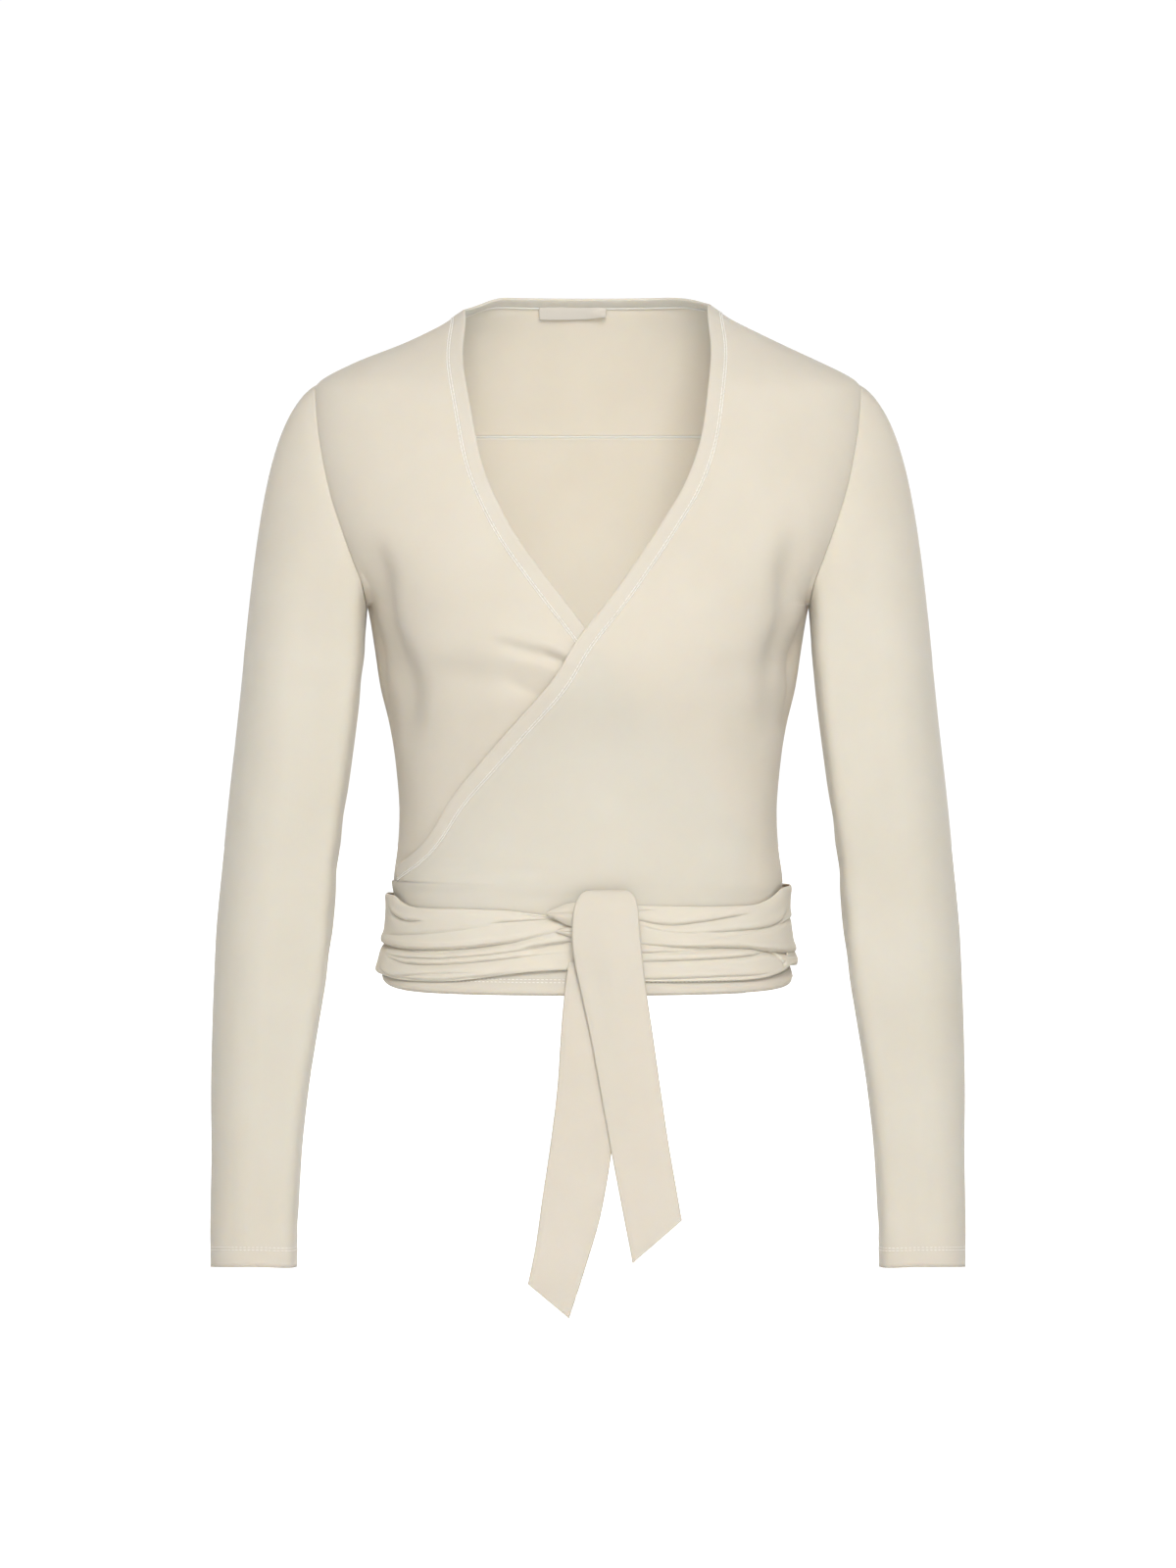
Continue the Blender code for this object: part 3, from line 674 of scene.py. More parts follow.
def neck_path():
    """Seam points, and the directions across the band and outward, from the over side to the under side."""
    over_heights = np.linspace(OVER_NECKLINE[0].height, NECK_POINT, 320)
    over_turns = neck_turn(OVER_NECKLINE, over_heights)
    over = lifted(over_heights, over_turns, over_lift(over_heights, over_turns))
    under_heights = np.linspace(NECK_POINT, UNDER_NECKLINE[0].height, 300)
    under_turns = under_turn(under_heights)
    under = lifted(under_heights, under_turns, under_sink(under_heights, under_turns))
    back_turns = np.linspace(2.0 * np.pi, np.pi, 122)[1:-1]
    back = on_form(back_neck(back_turns), back_turns)
    seam = np.concatenate([over, back, under])
    normals = np.concatenate([
        form_normal(over_heights, over_turns),
        form_normal(back_neck(back_turns), back_turns),
        form_normal(under_heights, under_turns),
    ])
    seam, normals = even_path(seam, normals)
    seam = soften(seam, 7)
    tangent = unit(np.gradient(seam, axis=0))
    across = unit(np.cross(unit(normals), tangent))
    inward = seam * np.array([-1.0, -1.0, 0.0])
    lean = unit(unit(inward) * 0.81 + np.array([0.0, 0.0, 0.59]))
    share = ease(-0.026, 0.004, seam[:, 1])[:, None] * ease(-0.06, -0.01, seam[:, 2])[:, None]
    across = unit(soften(across * (1.0 - share) + lean * share, 8))
    outward = unit(np.cross(tangent, across))
    return seam, across, outward


seam, across, outward = neck_path()
BAND_OUTLINE = table("share rise", "share",
    (-0.135, -0.3), (-0.125, 0.06), (-0.095, 0.28), (-0.055, 0.36), (-0.01, 0.26),
    (0.03, 0.14), (0.07, 0.28), (0.12, 0.4), (0.2, 0.5), (0.4, 0.44),
    (0.6, 0.42), (0.8, 0.46), (0.93, 0.3), (0.985, -0.1), (1.0, -0.7),
    (0.985, -1.3), (0.9, -1.65), (0.6, -1.7), (0.3, -1.7), (0.06, -1.65),
    (-0.06, -1.2), (-0.13, -0.7),
)


def neckband():
    """The folded band, rounded at its fold, with faint ripples where the stitching draws it in."""
    run = np.arange(len(seam)) * PATH_STEP
    ripple = 0.00010 * np.sin(run * 610.0 + 2.0 * np.sin(run * 47.0)) + 0.00008 * np.sin(run * 233.0)
    rows = np.zeros((len(seam), len(BAND_OUTLINE), 3))
    for k, edge in enumerate(BAND_OUTLINE):
        rise = edge.rise + ripple * bump(0.25, 0.3, edge.share)
        rows[:, k] = seam + across * (SEAM_GAP + edge.share * BAND_WIDTH) + outward * rise[:, None]
    mesh = grid_mesh("neckband_cloth", rows, closed=True, capped=True)
    return piece("neckband_cloth", mesh, band_jersey, "neckband")


def stitch_line(name, path, up, length=0.0022, pitch=0.0029, radius=0.00024):
    """A row of short stitches along a path, each a slim bar that dips into the cloth at both ends."""
    path, up = even_path(path, up, step=pitch)
    middle = 0.5 * (path[1:] + path[:-1])
    along = unit(path[1:] - path[:-1])
    top = unit(0.5 * (up[1:] + up[:-1]))
    side = unit(np.cross(along, top))
    stations = ((-0.50, -1.0), (-0.30, 0.25), (0.0, 0.60), (0.30, 0.25), (0.50, -1.0))
    ring = 5
    points, faces = [], []
    angles = 2.0 * np.pi * np.arange(ring) / ring
    for k in range(len(middle)):
        base = k * ring * len(stations)
        for share, rise in stations:
            centre = middle[k] + along[k] * share * length + top[k] * rise * radius
            for angle in angles:
                offset = side[k] * np.cos(angle) + top[k] * np.sin(angle)
                points.append(centre + offset * radius)
        for s in range(len(stations) - 1):
            for c in range(ring):
                a, b = base + s * ring + c, base + s * ring + (c + 1) % ring
                faces.append((a, b, b + ring, a + ring))
        far = base + (len(stations) - 1) * ring
        faces.append(tuple(range(base + ring - 1, base - 1, -1)))
        faces.append(tuple(range(far, far + ring)))
    mesh = bpy.data.meshes.new(name)
    mesh.from_pydata([tuple(p) for p in points], [], faces)
    for polygon in mesh.polygons:
        polygon.use_smooth = True
    return piece(name, mesh, stitch_thread)


band = neckband()
band_stitches = [
    stitch_line(f"neck_stitches_{side}", seam + across * offset + outward * rise, outward,
                length=0.0031, pitch=0.0033, radius=radius)
    for side, offset, rise, radius in (("outer", -0.0010, 0.00042, 0.00034),
                                       ("inner", 0.0006, 0.00036, 0.00032))
]


def seam_ridge(name, path, up, rise, width=0.0009):
    """A narrow rounded ridge of cloth along a seam."""
    path, up = even_path(path, up, step=0.0022)
    along = unit(np.gradient(path, axis=0))
    side = unit(np.cross(along, up))
    angles = 2.0 * np.pi * np.arange(8) / 8
    rows = np.stack([path + side * width * np.cos(a) + up * rise * np.sin(a) for a in angles], axis=1)
    # The ridge takes the paler seam cloth, a painted highlight along the seam.
    return piece(name, grid_mesh(name, rows, closed=True, capped=True), seam_jersey_painted_highlight)


def neck_label():
    """A blank folded satin label under the back band, its far lower corner curling up."""
    centre, width, top, height, wall = -0.011, 0.048, 0.0086, 0.0112, 0.0005
    drop, along = np.meshgrid(np.linspace(0.0, 1.0, 20), np.linspace(0.0, 1.0, 60), indexing="ij")
    x = centre + width * (along - 0.5)
    z = top - height * drop
    turn = 2.0 * np.pi - turn_at(z, x)
    curl = ease(0.66, 1.0, along) * ease(0.30, 1.0, drop)
    lift = -CLOTH - 0.0011 - 0.0006 * drop - 0.0004 * np.sin(np.pi * along * 2.0) * drop - 0.0042 * curl
    points = lifted(z, turn, lift)
    points[..., 2] += 0.0030 * curl
    mesh = grid_mesh("neck_label_satin", points[::-1])
    made = piece("neck_label_satin", mesh, label_satin, "neck_label")
    walled(made, wall)
    return made


label = neck_label()

yoke_turns = np.linspace(np.pi + 0.42, 2.0 * np.pi - 0.42, 160)
yoke_heights = np.full(yoke_turns.shape, YOKE_SEAM)
yoke_outward = form_normal(yoke_heights, yoke_turns)
yoke_path = on_form(yoke_heights, yoke_turns) - yoke_outward * (CLOTH + 0.0001)
yoke_ridge = seam_ridge("yoke_seam_inside", yoke_path, -yoke_outward, 0.00045)
behind = (seam[:, 1] > 0.004) & (seam[:, 2] > -0.010)
neck_inside = seam[behind] + across[behind] * 0.0004 - outward[behind] * 0.0018
neck_ridge = seam_ridge("neck_seam_inside", neck_inside, -outward[behind], 0.0005)


# ---- hem stitches ----
def hem_stitches(name, turns, lift, height):
    """A row of hem stitches round part of the body."""
    heights = height + 0.0 * turns
    places = lifted(heights + hem_rise(heights, turns), turns, lift(heights, turns) - 0.00025)
    return stitch_line(name, places, form_normal(heights, turns))


def no_lift(height, turn):
    """Nothing between this panel and the form."""
    return 0.0 * turn


front_hem, back_hem = [], []
front_turns = np.linspace(0.02, np.radians(184.0), 300)
back_turns = np.linspace(np.pi + 0.02, 2.0 * np.pi - 0.02, 300)
for row, height in enumerate((HEM_TOP, HEM_TOP - ROW_GAP)):
    front_hem.append(hem_stitches(f"hem_stitches_front_{row}", front_turns, over_lift, height))
    back_hem.append(hem_stitches(f"hem_stitches_back_{row}", back_turns, no_lift, height))


# ---- sleeves ----
SLEEVE_COLUMNS = 96
CUFF = SLEEVE[-1].height
SLEEVE_CREASES = table("height turn slope length width depth", "turn slope length",
    (-385, 3.1, 0.16, 0.9, 11, -1.1),
    (-352, 2.6, 0.24, 0.85, 13, -0.9),
    (-418, 3.7, -0.14, 0.8, 12, -1),
    (-446, 3.05, 0.1, 0.7, 12, -0.7),
    (-262, 4.2, -0.45, 0.55, 12, -0.8),
    (-258, 2.1, 0.5, 0.55, 12, -0.8),
    (-540, 1.3, 0.2, 0.8, 13, -0.5),
    (-600, 4.4, -0.18, 0.8, 11, -0.5),
    (-632, 2.9, 0.1, 0.9, 8, -0.5),
)


def armhole_loop(count):
    """The left armhole seam as a closed loop, evenly spaced: shoulder, back, underarm, front."""
    fine = UNDERARM + (SHOULDER - UNDERARM) * (0.5 - 0.5 * np.cos(np.linspace(0.0, np.pi, 260)))
    down, rise = fine[::-1], fine[1:-1]
    back = on_form(down, 2.0 * np.pi - armhole_turn(down))
    front = on_form(rise, armhole_turn(rise))
    loop = np.concatenate([back, front, back[:1]])
    gaps = np.linalg.norm(np.diff(loop, axis=0), axis=1)
    run = np.concatenate([[0.0], np.cumsum(gaps)])
    at = np.linspace(0.0, run[-1], count, endpoint=False)
    return np.stack([np.interp(at, run, loop[:, k]) for k in range(3)], axis=1)


def sleeve_ring(height, turns):
    """One ring of the sleeve below the cap: turn 0 is its outer side, a quarter turn its back."""
    centre, half_width, half_depth, forward = np.ravel(
        columns_at(SLEEVE, "height", np.array([height]), 0.006, "centre half_width half_depth forward"))
    square = 7.0 - 3.6 * ease(-0.40, -0.62, height)
    power = 2.0 + square * ease(0.0, 0.6, -np.cos(turns)) * ease(UNDERARM - 0.010, UNDERARM - 0.040, height)
    full = (np.abs(np.cos(turns)) ** power + np.abs(np.sin(turns)) ** power) ** (-1.0 / power)
    full = np.minimum(full, 1.35)
    x = centre + half_width * full * np.cos(turns)
    y = -forward + half_depth * full * np.sin(turns)
    level = 0.11 * ease(CUFF + 0.060, CUFF, height)
    return np.stack([x, y, height - level * half_depth * np.sin(turns)], axis=1)


def left_sleeve_rows():
    """The set-in cap lofted from the armhole loop, then the arm down to the cuff."""
    turns = np.linspace(0.0, 2.0 * np.pi, SLEEVE_COLUMNS, endpoint=False)
    loop = armhole_loop(SLEEVE_COLUMNS)
    shares = np.stack([np.maximum(0.0, np.cos(turns)) ** 2, np.sin(turns) ** 2,
                       np.maximum(0.0, -np.cos(turns)) ** 2])
    mixed = {
        name: sum(share * getattr(row, name) for share, row in zip(shares, (CAP_TOP, CAP_SIDE, CAP_UNDER)))
        for name in Leaving._fields
    }
    side = np.sign(np.sin(turns)) * mixed["sideways"]
    direction = unit(np.stack([mixed["outward"], side, mixed["down"]], axis=1))
    start = loop - unit(direction + np.array([1.0, 0.0, 0.0])) * 0.0004
    low = sleeve_ring(SLEEVE[0].height, turns)
    reach = np.linalg.norm(low - start, axis=1)[:, None]
    axis = np.array([0.10, 0.0, -0.995])
    rows = []
    for t in np.linspace(0.0, 1.0, 56, endpoint=False):
        rows.append(hermite(t, start, direction * mixed["start_pull"][:, None] * reach,
                            low, axis * mixed["end_pull"][:, None] * reach))
    for height in np.linspace(SLEEVE[0].height, CUFF, 136):
        rows.append(sleeve_ring(height, turns))
    return np.array(rows), turns


def sleeve(side):
    """One sleeve with its soft elbow folds, underarm seam and cuff fold."""
    rows, turns = left_sleeve_rows()
    normal = unit(np.cross(np.gradient(rows, axis=0),
                           np.roll(rows, -1, axis=1) - np.roll(rows, 1, axis=1)))
    height = rows[..., 2]
    turn = np.broadcast_to(turns, height.shape)
    relief = np.zeros(height.shape)
    stitch_height = CUFF + CUFF_FOLD
    shift = 0.0 if side == "left" else 0.35
    for crease in SLEEVE_CREASES:
        away = (turn - crease.turn - shift * np.sin(crease.height * 90.0) + np.pi) % (2.0 * np.pi) - np.pi
        off = height - crease.height - 0.045 * crease.slope * away
        relief += crease.depth * np.exp(-((away / crease.length) ** 4) - (off / crease.width) ** 2)
    relief -= 0.0005 * np.exp(-(((turn - 3.22) * 0.040 / 0.0011) ** 2)) * ease(-0.216, -0.225, height)
    relief -= 0.00030 * bump(stitch_height, 0.0011, height)
    row_number = np.arange(len(rows))[:, None]
    relief -= 0.0003 * np.exp(-row_number / 1.4)
    rows = rows + normal * relief[..., None]
    if side == "right":
        rows = rows[:, ::-1] * np.array([-1.0, 1.0, 1.0])
    folded = folded_rows(rows[:, 0, 2], stitch_height)
    made = cloth(f"sleeve_{side}_cloth", rows, cloth_jersey, f"sleeve_{side}", folded=(folded, FOLD_WALL),
                 closed=True)
    around = np.linspace(0.0, 2.0 * np.pi, 120)
    out = np.stack([np.cos(around), np.sin(around), 0.0 * around], axis=1)
    flip = np.array([-1.0 if side == "right" else 1.0, 1.0, 1.0])
    for k, height in enumerate((stitch_height, stitch_height - ROW_GAP)):
        ring = sleeve_ring(height, around) - out * 0.0002
        stitch_line(f"cuff_stitches_{side}_{k}", ring * flip, out * flip)


sleeve("left")
sleeve("right")

# ---- sash ----
EDGE = ("degrees top bottom lift fold_share", "degrees fold_share")
SASH_LEFT = table(*EDGE,
    (79.5, -407, -459, -1, 1.0),
    (66.0, -408, -459.5, 0, 1.0),
    (57.0, -408.5, -459.7, 0, 1.0),
    (45.0, -408.8, -460, 0, 1.0),
    (36.0, -408.5, -459.2, 0, 1.0),
    (26.0, -404.5, -456.5, 0.4, 1.0),
    (16.0, -398, -453, 1, 1.0),
    (0.0, -397.5, -453, 0.6, 1.0),
    (-25.0, -399, -453, 0.6, 0.9),
    (-50.0, -400, -432, 0.6, 0.8),
    (-90.0, -401, -430, 1, 0.8),
    (-150.0, -403, -430, 0, 0.7),
    (-172.0, -408, -440, -0.4, 0.5),
)
SASH_RIGHT = table(*EDGE,
    (92.0, -415, -450.5, -1, 1.0),
    (98.0, -414.5, -451.5, 0, 1.0),
    (103.0, -413, -452.5, 0, 1.0),
    (113.0, -410.8, -455.7, 0, 1.0),
    (126.0, -410.4, -459.8, 0, 1.0),
    (138.0, -410.8, -461, 0, 1.0),
    (147.0, -410.8, -461.2, 0, 1.0),
    (156.0, -408, -460.5, 0.4, 1.0),
    (164.0, -403, -459.5, 1, 1.0),
    (180.0, -403, -459, 0.6, 1.0),
    (205.0, -407, -460, 0.6, 0.9),
    (228.0, -429, -461, 0.6, 0.8),
    (270.0, -431, -460.5, 0.6, 0.8),
    (330.0, -431, -459, 0, 0.7),
    (378.0, -415, -452, -0.4, 0.5),
)
PLEAT = ("depth above below path", "path")
PLEATS_LEFT = table(*PLEAT,
    (1.2, 1, 2, ((82, -411.2), (78, -411), (72, -410.4))),
    (2.6, 1.6, 3.4, ((84, -416), (78, -417.2), (74, -420), (68, -421.2), (60, -419.5), (48, -416.5),
     (36, -414))),
    (1, 1.2, 3, ((80, -419), (74, -423.5), (68, -426.2), (58, -427.2))),
    (2.4, 1.6, 3.4, ((66, -425.8), (56, -426.5), (46, -426), (37, -425.5), (30, -424.8), (22, -422.5),
     (14, -415), (6, -408))),
    (1.4, 1.2, 2, ((26, -426.2), (18, -422.5), (8, -420.5), (-10, -420))),
    (1, 3, 3.4, ((62, -432.2), (52, -430), (40, -428.5), (26, -426.8))),
    (4.4, 1.8, 3, ((86, -432.5), (78, -433.8), (68, -436), (61, -436.6), (52, -437), (46, -437.5),
     (40, -438.5), (32, -441), (15, -444.5), (-10, -446))),
    (2, 1.2, 2.2, ((84, -440), (77, -439.6), (71, -439), (62, -438.5), (54, -437.4))),
    (2.8, 1.4, 2.8, ((86, -445.8), (77, -445.5), (69, -445), (58, -444.5), (47, -444), (40, -443.4),
     (34, -441.8), (26, -439.8))),
    (1.8, 1.4, 3, ((32, -441.2), (25, -444), (21, -448), (25, -453))),
    (2.2, 1.2, 1.8, ((86, -457.2), (77, -457.4), (64, -457.1), (52, -456.7), (39, -457.2), (30, -456))),
    (2, 1.2, 2.8, ((-6, -413), (-30, -411), (-60, -410), (-110, -409))),
    (2.6, 1.4, 3.2, ((8, -434), (-10, -436), (-30, -430), (-60, -421.5), (-110, -419), (-165, -417.5))),
    (2.2, 1.4, 3, ((0, -450), (-14, -448), (-34, -438), (-60, -426.5), (-100, -425), (-150, -424))),
    (1.4, 1.2, 2.6, ((-80, -414.5), (-120, -413.5), (-165, -418))),
)
PLEATS_RIGHT = table(*PLEAT,
    (1.2, 1, 2.2, ((109, -412.2), (103, -414.5), (98, -416), (92, -417))),
    (2.2, 1.2, 2.6, ((168, -410.5), (163, -415.5), (158, -418.5), (152, -420.3), (148, -420.2),
     (140, -419.4))),
    (2.2, 1.4, 2.8, ((118, -421.2), (112, -419), (104, -417.5), (98, -416.3), (92, -416))),
    (1.4, 3.4, 4, ((172, -431.6), (157, -431), (139, -428.5), (130, -426.5), (121, -423.5), (112, -420))),
    (4.6, 2, 2.8, ((200, -438), (180, -439), (162, -439.5), (152, -440), (141, -439.5), (130, -438.5),
     (122, -437), (114, -434.5), (108, -432.5), (102, -428.5), (98, -426), (94, -424), (88, -422))),
    (1.6, 1, 2, ((154, -440.4), (142, -441.5), (134, -441.2), (127, -439.8), (122, -437.8))),
    (2.4, 1.4, 2.4, ((166, -444.5), (160, -445.5), (152, -446), (142, -445.5), (133, -445), (125, -443.5),
     (116, -441.5), (110, -439.5), (104, -437.5), (98, -435), (92, -432))),
    (3.4, 1.6, 6, ((107, -437.6), (102, -435.2), (97, -433.2), (91, -431.2))),
    (2.6, 1.4, 3, ((166, -444.5), (160, -447.5), (150, -449.5), (141, -449.7), (132, -449), (122, -447),
     (114, -445), (106, -442.5), (98, -440), (92, -438.5))),
    (1.6, 1.2, 2.2, ((170, -453), (161, -458.3), (153, -459.6), (147, -458.3), (140, -456.6),
     (126, -454.5), (116, -453.5))),
    (2, 1.4, 1.6, ((158, -459.6), (148, -459.7), (138, -460), (130, -459.6), (120, -457), (112, -454.5),
     (104, -451.5))),
    (2.2, 1.4, 3, ((182, -414), (198, -418), (222, -431), (240, -438))),
    (2.4, 1.4, 3.2, ((176, -426), (200, -431), (232, -443), (280, -445), (330, -443))),
    (2, 1.4, 2.8, ((176, -448), (200, -450), (236, -454), (290, -454), (345, -452))),
    (2, 1.4, 3, ((215, -437), (262, -439), (320, -438))),
    (1.2, 1.2, 2.4, ((250, -449), (285, -449.5), (330, -448))),
)


def smooth_path(path, degrees):
    """Heights of a pleat's line at these angles, rounded between its points (degrees, millimetres)."""
    x, y = np.array(sorted(path)).T / np.array([[1.0], [1000.0]])
    offsets = np.linspace(-1.0, 1.0, 9)
    weights = 1.0 - 0.9 * offsets**2
    reach = 0.42 * np.minimum(np.gradient(x).mean(), 12.0)
    return sum(w * np.interp(degrees + o * reach, x, y) for w, o in zip(weights, offsets)) / weights.sum()


def fold_relief(degrees, height, pleats):
    """Pleats: cloth above each line rolls over it, and cloth below comes out from under the roll."""
    total = np.zeros(height.shape)
    for pleat in pleats:
        ends = [place[0] for place in pleat.path]
        low, high = min(ends), max(ends)
        reach = 0.28 * (high - low)
        fade = ease(low, low + reach, degrees) * ease(high, high - reach, degrees)
        off = height - smooth_path(pleat.path, degrees)
        roll = np.clip(1.0 - off / pleat.above, 0.0, 1.0)
        over = 1.0 - np.sqrt(1.0 - roll * roll * 0.999)
        under = np.exp(-((np.maximum(-off, 0.0) / (0.85 * pleat.below)) ** 1.3))
        swell = 0.30 * np.exp(-((off / pleat.above - 2.0) / 1.8) ** 2) * (off > -pleat.below)
        total += 1.05 * pleat.depth * fade * (swell - np.where(off > 0.0, over, under))
    return total


def sash(name, node, edges, pleats, front):
    """One tie from the knot round one side and across the back, finest across the front."""
    ends = [edge.degrees for edge in edges]
    low, high = min(ends), max(ends)
    fine = np.arange(max(low, front[0]), min(high, front[1]), 0.55)
    coarse = [np.arange(low, fine[0] - 1.0, 2.0), np.arange(fine[-1] + 2.0, high, 2.0), [high]]
    degrees = np.concatenate([coarse[0], fine, coarse[1], coarse[2]])
    even = np.linspace(0.0, 1.0, 124)
    share = 0.9 * even + 0.1 * (0.5 - 0.5 * np.cos(np.pi * even))
    top, bottom, extra, depth = columns_at(edges, "degrees", degrees, 1.2, "top bottom lift fold_share")
    height = bottom + (top - bottom) * share[:, None]
    angle = np.broadcast_to(degrees, height.shape)
    relief = fold_relief(angle, height, pleats) * depth
    edge = np.minimum(share, 1.0 - share)[:, None] * (top - bottom)
    rounding = 0.0016 * np.sqrt(1.0 - np.clip(1.0 - edge / 0.0030, 0.0, 1.0) ** 2)
    in_front = ease(6.0, 22.0, angle) * ease(176.0, 160.0, angle)
    laid = -0.0015 * np.exp(-(((top - height) / 0.0042) ** 2)) * in_front
    total = SASH_LIFT + extra + np.maximum(relief, -0.0048) + rounding + laid
    # The sash takes the paler-painted jersey, painted light against its own pleat shadows.
    return cloth(name, lifted(height, np.radians(angle), total), sash_jersey_painted_paler, node, wall=SASH_WALL)


left_tie = sash("sash_left_cloth", "sash_left", SASH_LEFT, PLEATS_LEFT, (-8.0, 80.0))
right_tie = sash("sash_right_cloth", "sash_right", SASH_RIGHT, PLEATS_RIGHT, (91.0, 188.0))

# ---- knot and tails ----
STRIP = ("along left right left_height right_height depth arch", "along")
TAIL_FRONT = table(*STRIP,
    (0.0, 3, 21, -404, -404, 99, 0),
    (0.6, 1, 23.5, -397.5, -397.5, 101.5, 0.3),
    (1.1, -1.5, 26.5, -395.8, -395.5, 106.2, 0.5),
    (1.8, -6.5, 31.2, -400, -399, 111.5, 1),
    (2.6, -10, 34, -409, -407.5, 114.3, 1.4),
    (4.0, -11, 35.2, -427, -425, 115.2, 1.4),
    (5.5, -8.8, 37, -446, -444, 114.8, 1),
    (7.0, -5, 39.2, -464, -462, 113.6, 0.8),
    (9.5, 2, 43.5, -497, -491, 112.8, 0.6),
    (12.0, 8.5, 48.5, -533, -526, 112.6, 0.5),
    (15.0, 16, 54, -575, -564, 112.6, 0.5),
    (17.5, 23, 59.5, -612, -596, 112.7, 0.4),
    (20.0, 30.4, 63.8, -650, -620.5, 112.8, 0.3),
)
TAIL_BACK = table(*STRIP,
    (0.0, -13, 20, -444, -444, 106.8, 1),
    (1.5, -15.2, 21.5, -458, -458, 108, 1.2),
    (4.0, -18.2, 22.5, -490, -490, 109, 0.8),
    (7.0, -20.5, 20.5, -526, -529, 109.2, 0.6),
    (10.0, -25, 16.5, -564, -570, 109.2, 0.5),
    (13.5, -31, 9, -605, -615, 109.3, 0.5),
    (16.5, -36, -1, -640, -650, 109.4, 0.4),
    (19.0, -41, -13.2, -664, -688, 109.5, 0.3),
)


def strip_rows(strip, count, columns, ripple):
    """Rows of points down a strip of cloth, arched across and rippled along."""
    along = np.linspace(strip[0].along, strip[-1].along, count)
    names = "left right left_height right_height depth arch"
    left, right, left_height, right_height, depth, arch = [
        column[:, None] for column in columns_at(strip, "along", along, 0.25, names)
    ]
    share = np.linspace(0.0, 1.0, columns)[None, :]
    x = left + (right - left) * share
    z = left_height + (right_height - left_height) * share
    y = -depth - arch * np.sin(np.pi * share) - ripple(along[:, None], share)
    return np.stack([x, y, z], axis=-1)


def double_strip(name, points, node):
    """A doubled strip: its long edges are turned and pressed, so they round over and lie a little flat."""
    columns = points.shape[1]
    along, side = np.gradient(points, axis=0), np.gradient(points, axis=1)
    out = unit(np.cross(along, side))
    width = np.linalg.norm(points[:, -1] - points[:, 0], axis=1)[:, None]
    from_edge = np.minimum(np.linspace(0.0, 1.0, columns), np.linspace(1.0, 0.0, columns))[None, :] * width
    roll = -0.5 * TAIL_WALL * np.exp(-from_edge / 0.0006) - 0.00022 * bump(0.0019, 0.0006, from_edge)
    return cloth(name, points + out * roll[..., None], cloth_jersey, node, wall=TAIL_WALL)


def front_ripple(along, share):
    """Soft dents of the front tail where it leaves the knot."""
    dent = -0.0012 * bump(0.30, 0.10, share) * ease(4.0, 6.5, along) * ease(11.0, 7.0, along)
    return dent + 0.0006 * np.sin(along * 0.7 + share * 2.0) * ease(6.0, 12.0, along)


def back_ripple(along, share):
    """A soft fold down the back tail under the knot."""
    dent = -0.0010 * bump(0.45, 0.12, share) * ease(6.0, 2.0, along)
    return dent + 0.0005 * np.sin(along * 0.6 + 1.0 + share * 2.0) * ease(3.0, 9.0, along)


near_tail = double_strip("tail_front_cloth", strip_rows(TAIL_FRONT, 200, 40, front_ripple), "tail_front")
far_tail = double_strip("tail_back_cloth", strip_rows(TAIL_BACK, 170, 40, back_ripple), "tail_back")


WEDGE = ("degrees top bottom lift arch", "degrees")
KNOT_UPPER = table(*WEDGE,
    (99.6, -412.6, -413.6, 7.2, 0.6),
    (98.4, -410.8, -415.2, 8, 1.8),
    (96.6, -408.6, -417.8, 8.6, 3),
    (94.6, -406.4, -420.6, 9, 3.6),
    (91.0, -404.8, -424, 9.6, 3.6),
    (84.0, -404.5, -426, 9.6, 3),
    (79.0, -407.5, -424, 8, 1.2),
)
KNOT_LOWER = table(*WEDGE,
    (97.0, -424.6, -425.6, 6.6, 0.6),
    (95.8, -423.2, -426.8, 7.2, 1.4),
    (94.0, -422.2, -428.6, 7.6, 2.2),
    (91.0, -421.5, -431, 8, 2.6),
    (84.0, -425, -442, 8.4, 2.6),
    (79.0, -426, -440, 7.2, 1),
)


def knot():
    """The tie crossing under the front tail: two rolls of cloth that narrow to a point at the side."""
    grids = []
    for roll in (KNOT_UPPER, KNOT_LOWER):
        degrees = np.linspace(roll[-1].degrees, roll[0].degrees, 80)
        top, bottom, lift, arch = columns_at(roll, "degrees", degrees, 0.15, "top bottom lift arch")
        share = np.linspace(0.0, 1.0, 50)[:, None]
        height = bottom + (top - bottom) * share
        crease = -0.0009 * bump(0.42 + 0.10 * np.sin(np.radians(degrees) * 9.0), 0.06, share)
        rise = arch * (1.0 - np.abs(2.0 * share - 1.0) ** 2.4) + crease * (arch / 0.0036)
        turn = np.radians(np.broadcast_to(degrees, height.shape))
        grids.append(lifted(height, turn, lift + rise))
    mesh = bpy.data.meshes.new("knot_cloth")
    rows, columns, _ = grids[0].shape
    faces = grid_faces(rows, columns, False)
    points = np.concatenate([grid.reshape(-1, 3) for grid in grids])
    mesh.from_pydata(points.tolist(), [], np.concatenate([faces, faces + rows * columns]).tolist())
    mesh.polygons.foreach_set("use_smooth", np.ones(len(mesh.polygons), bool))
    made = piece("knot_cloth", mesh, cloth_jersey, "knot")
    walled(made, SASH_WALL)
    return made


knot()

# ---- stage ----
FLOOR = 14.0
CENTRE = (0.0, 0.0, -0.30)
scene = bpy.context.scene
scene.view_settings.view_transform = "Standard"
scene.view_settings.look = "None"
world = bpy.data.worlds.new("white_studio")
world.use_nodes = True
sky = world.node_tree


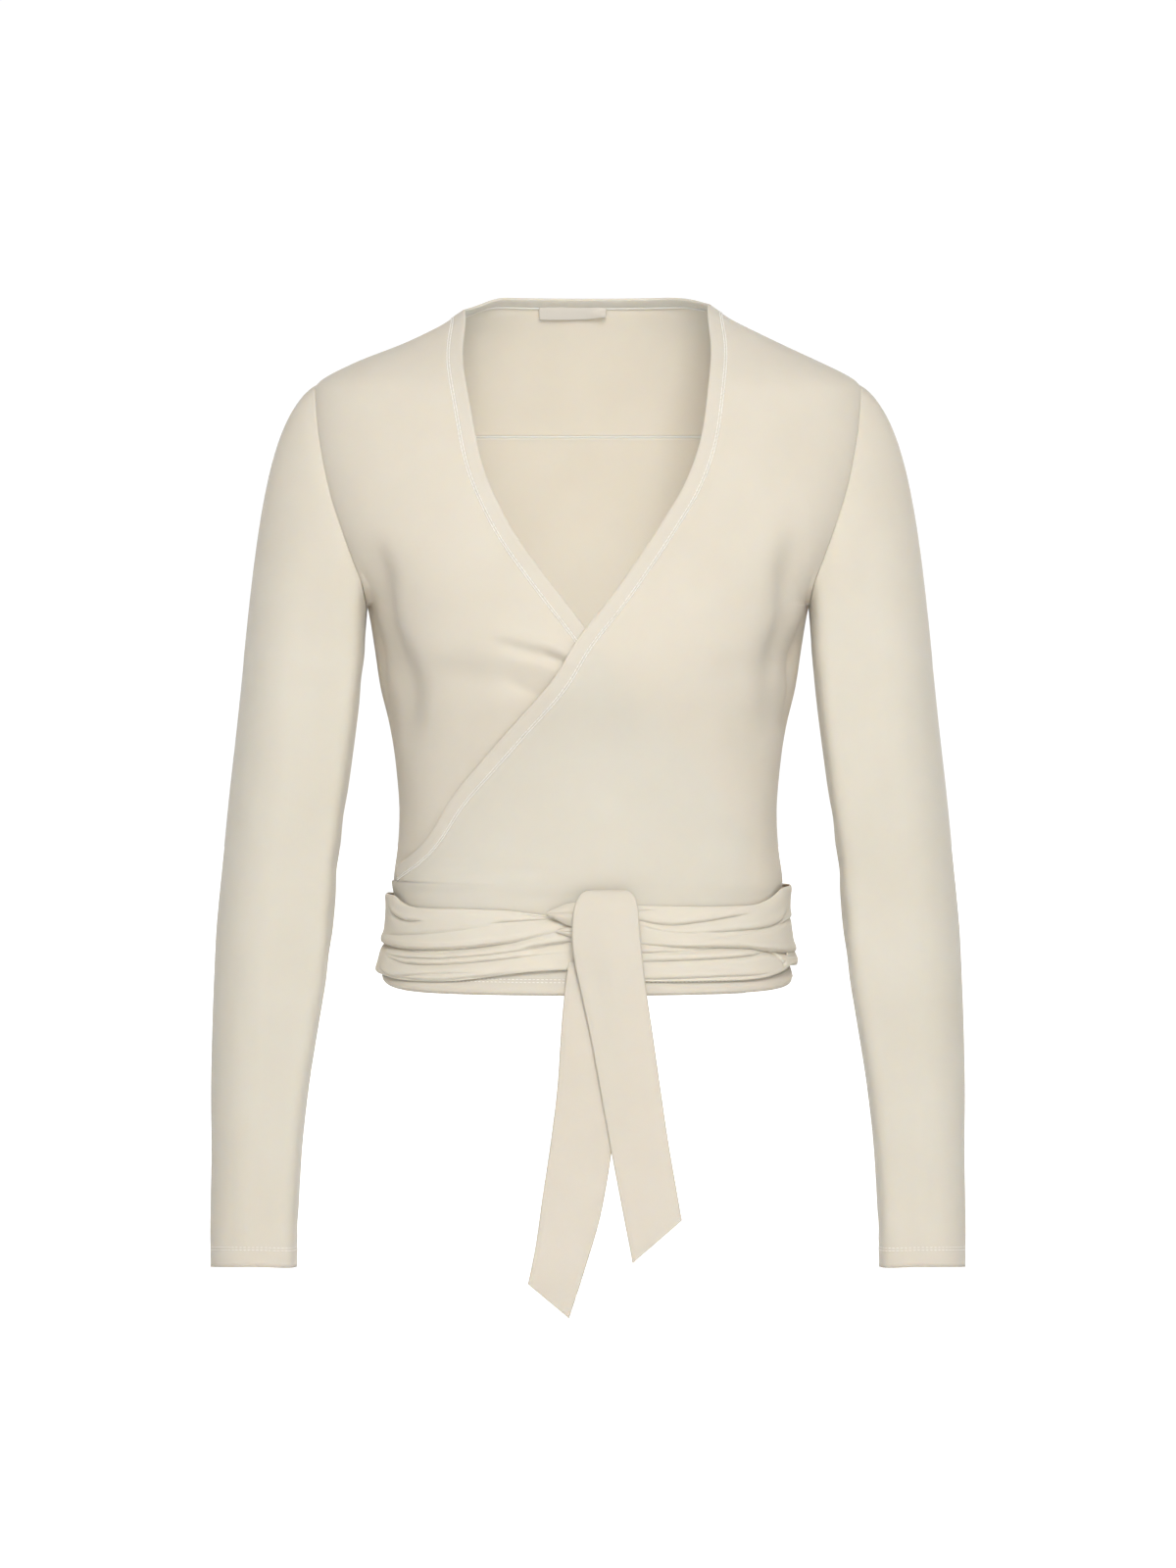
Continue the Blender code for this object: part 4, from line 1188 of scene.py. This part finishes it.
def graded(tree, coordinate, axis, start, end, low, high):
    """A value that rises smoothly from low to high along one axis of a coordinate."""
    place = tree.nodes.new("ShaderNodeTexCoord")
    apart = tree.nodes.new("ShaderNodeSeparateXYZ")
    spread = tree.nodes.new("ShaderNodeMapRange")
    spread.interpolation_type = "SMOOTHSTEP"
    for name, value in (("From Min", start), ("From Max", end), ("To Min", low), ("To Max", high)):
        spread.inputs[name].default_value = value
    tree.links.new(place.outputs[coordinate], apart.inputs[0])
    tree.links.new(apart.outputs[axis], spread.inputs["Value"])
    return spread.outputs["Result"]


backdrop = sky.nodes["Background"]
sky.links.new(graded(sky, "Generated", "Y", 0.60, 0.95, 0.36, 1.04), backdrop.inputs["Strength"])
backdrop.inputs["Color"].default_value = (1.0, 1.0, 1.0, 1.0)
scene.world = world

floor_mesh = bpy.data.meshes.new("floor")
corners = [(-FLOOR, -FLOOR, -1.0), (FLOOR, -FLOOR, -1.0), (FLOOR, FLOOR, -1.0), (-FLOOR, FLOOR, -1.0)]
floor_mesh.from_pydata(corners, [], [(0, 1, 2, 3)])
# Painted light: the floor glows. Its emission rises from nothing in front to full strength towards the
# back, so it shows as plain white.
paint = Nodes("floor_paint")
paint.shade(Base_Color=(0.90, 0.90, 0.90, 1.0), Roughness=1.0, Emission_Color=(1.0, 1.0, 1.0, 1.0))
paint.link(graded(paint.tree, "Object", "Y", 0.2, 0.8, 0.0, 1.0), paint.shader.inputs["Emission Strength"])
floor_mesh.materials.append(paint.material)
placed("floor", floor_mesh)


def aimed(made, place, aim):
    """Puts a light or the camera at a place, looking at its aim."""
    made.location = place
    made.rotation_euler = (Vector(aim) - Vector(place)).to_track_quat("-Z", "Y").to_euler()
    return made


def softbox(name, place, aim, size, power, colour=(1.0, 1.0, 1.0)):
    """A soft area light."""
    light = bpy.data.lights.new(name, "AREA")
    light.shape = "RECTANGLE"
    light.size, light.size_y = size
    light.energy = power
    light.color = colour
    return aimed(placed(name, light), place, aim)


softbox("key", (0.22, -3.1, 1.65), CENTRE, (1.4, 1.4), 90.0)
softbox("fill", (0.1, -3.6, -0.3), CENTRE, (1.2, 1.2), 23.0)
inside = softbox("inside", (0.0, -0.055, -0.215), (0.0, 0.10, -0.14), (0.12, 0.14), power=0.074,
                 colour=(0.76, 0.89, 1.0))
inside.visible_camera = False
glow = bpy.data.lights.new("inside_neck", "POINT")
glow.energy = 0.074
glow.color = (0.78, 0.90, 1.0)
glow.shadow_soft_size = 0.03
neck_glow = placed("inside_neck", glow)
neck_glow.location = (-0.004, -0.03, -0.065)
neck_glow.visible_camera = False

camera_data = bpy.data.cameras.new("camera")
camera_data.sensor_width = 36.0
camera_data.lens = 132.4
scene.camera = aimed(placed("camera", camera_data), (0.0, -4.0, -0.192), (0.0, 0.0, -0.328))
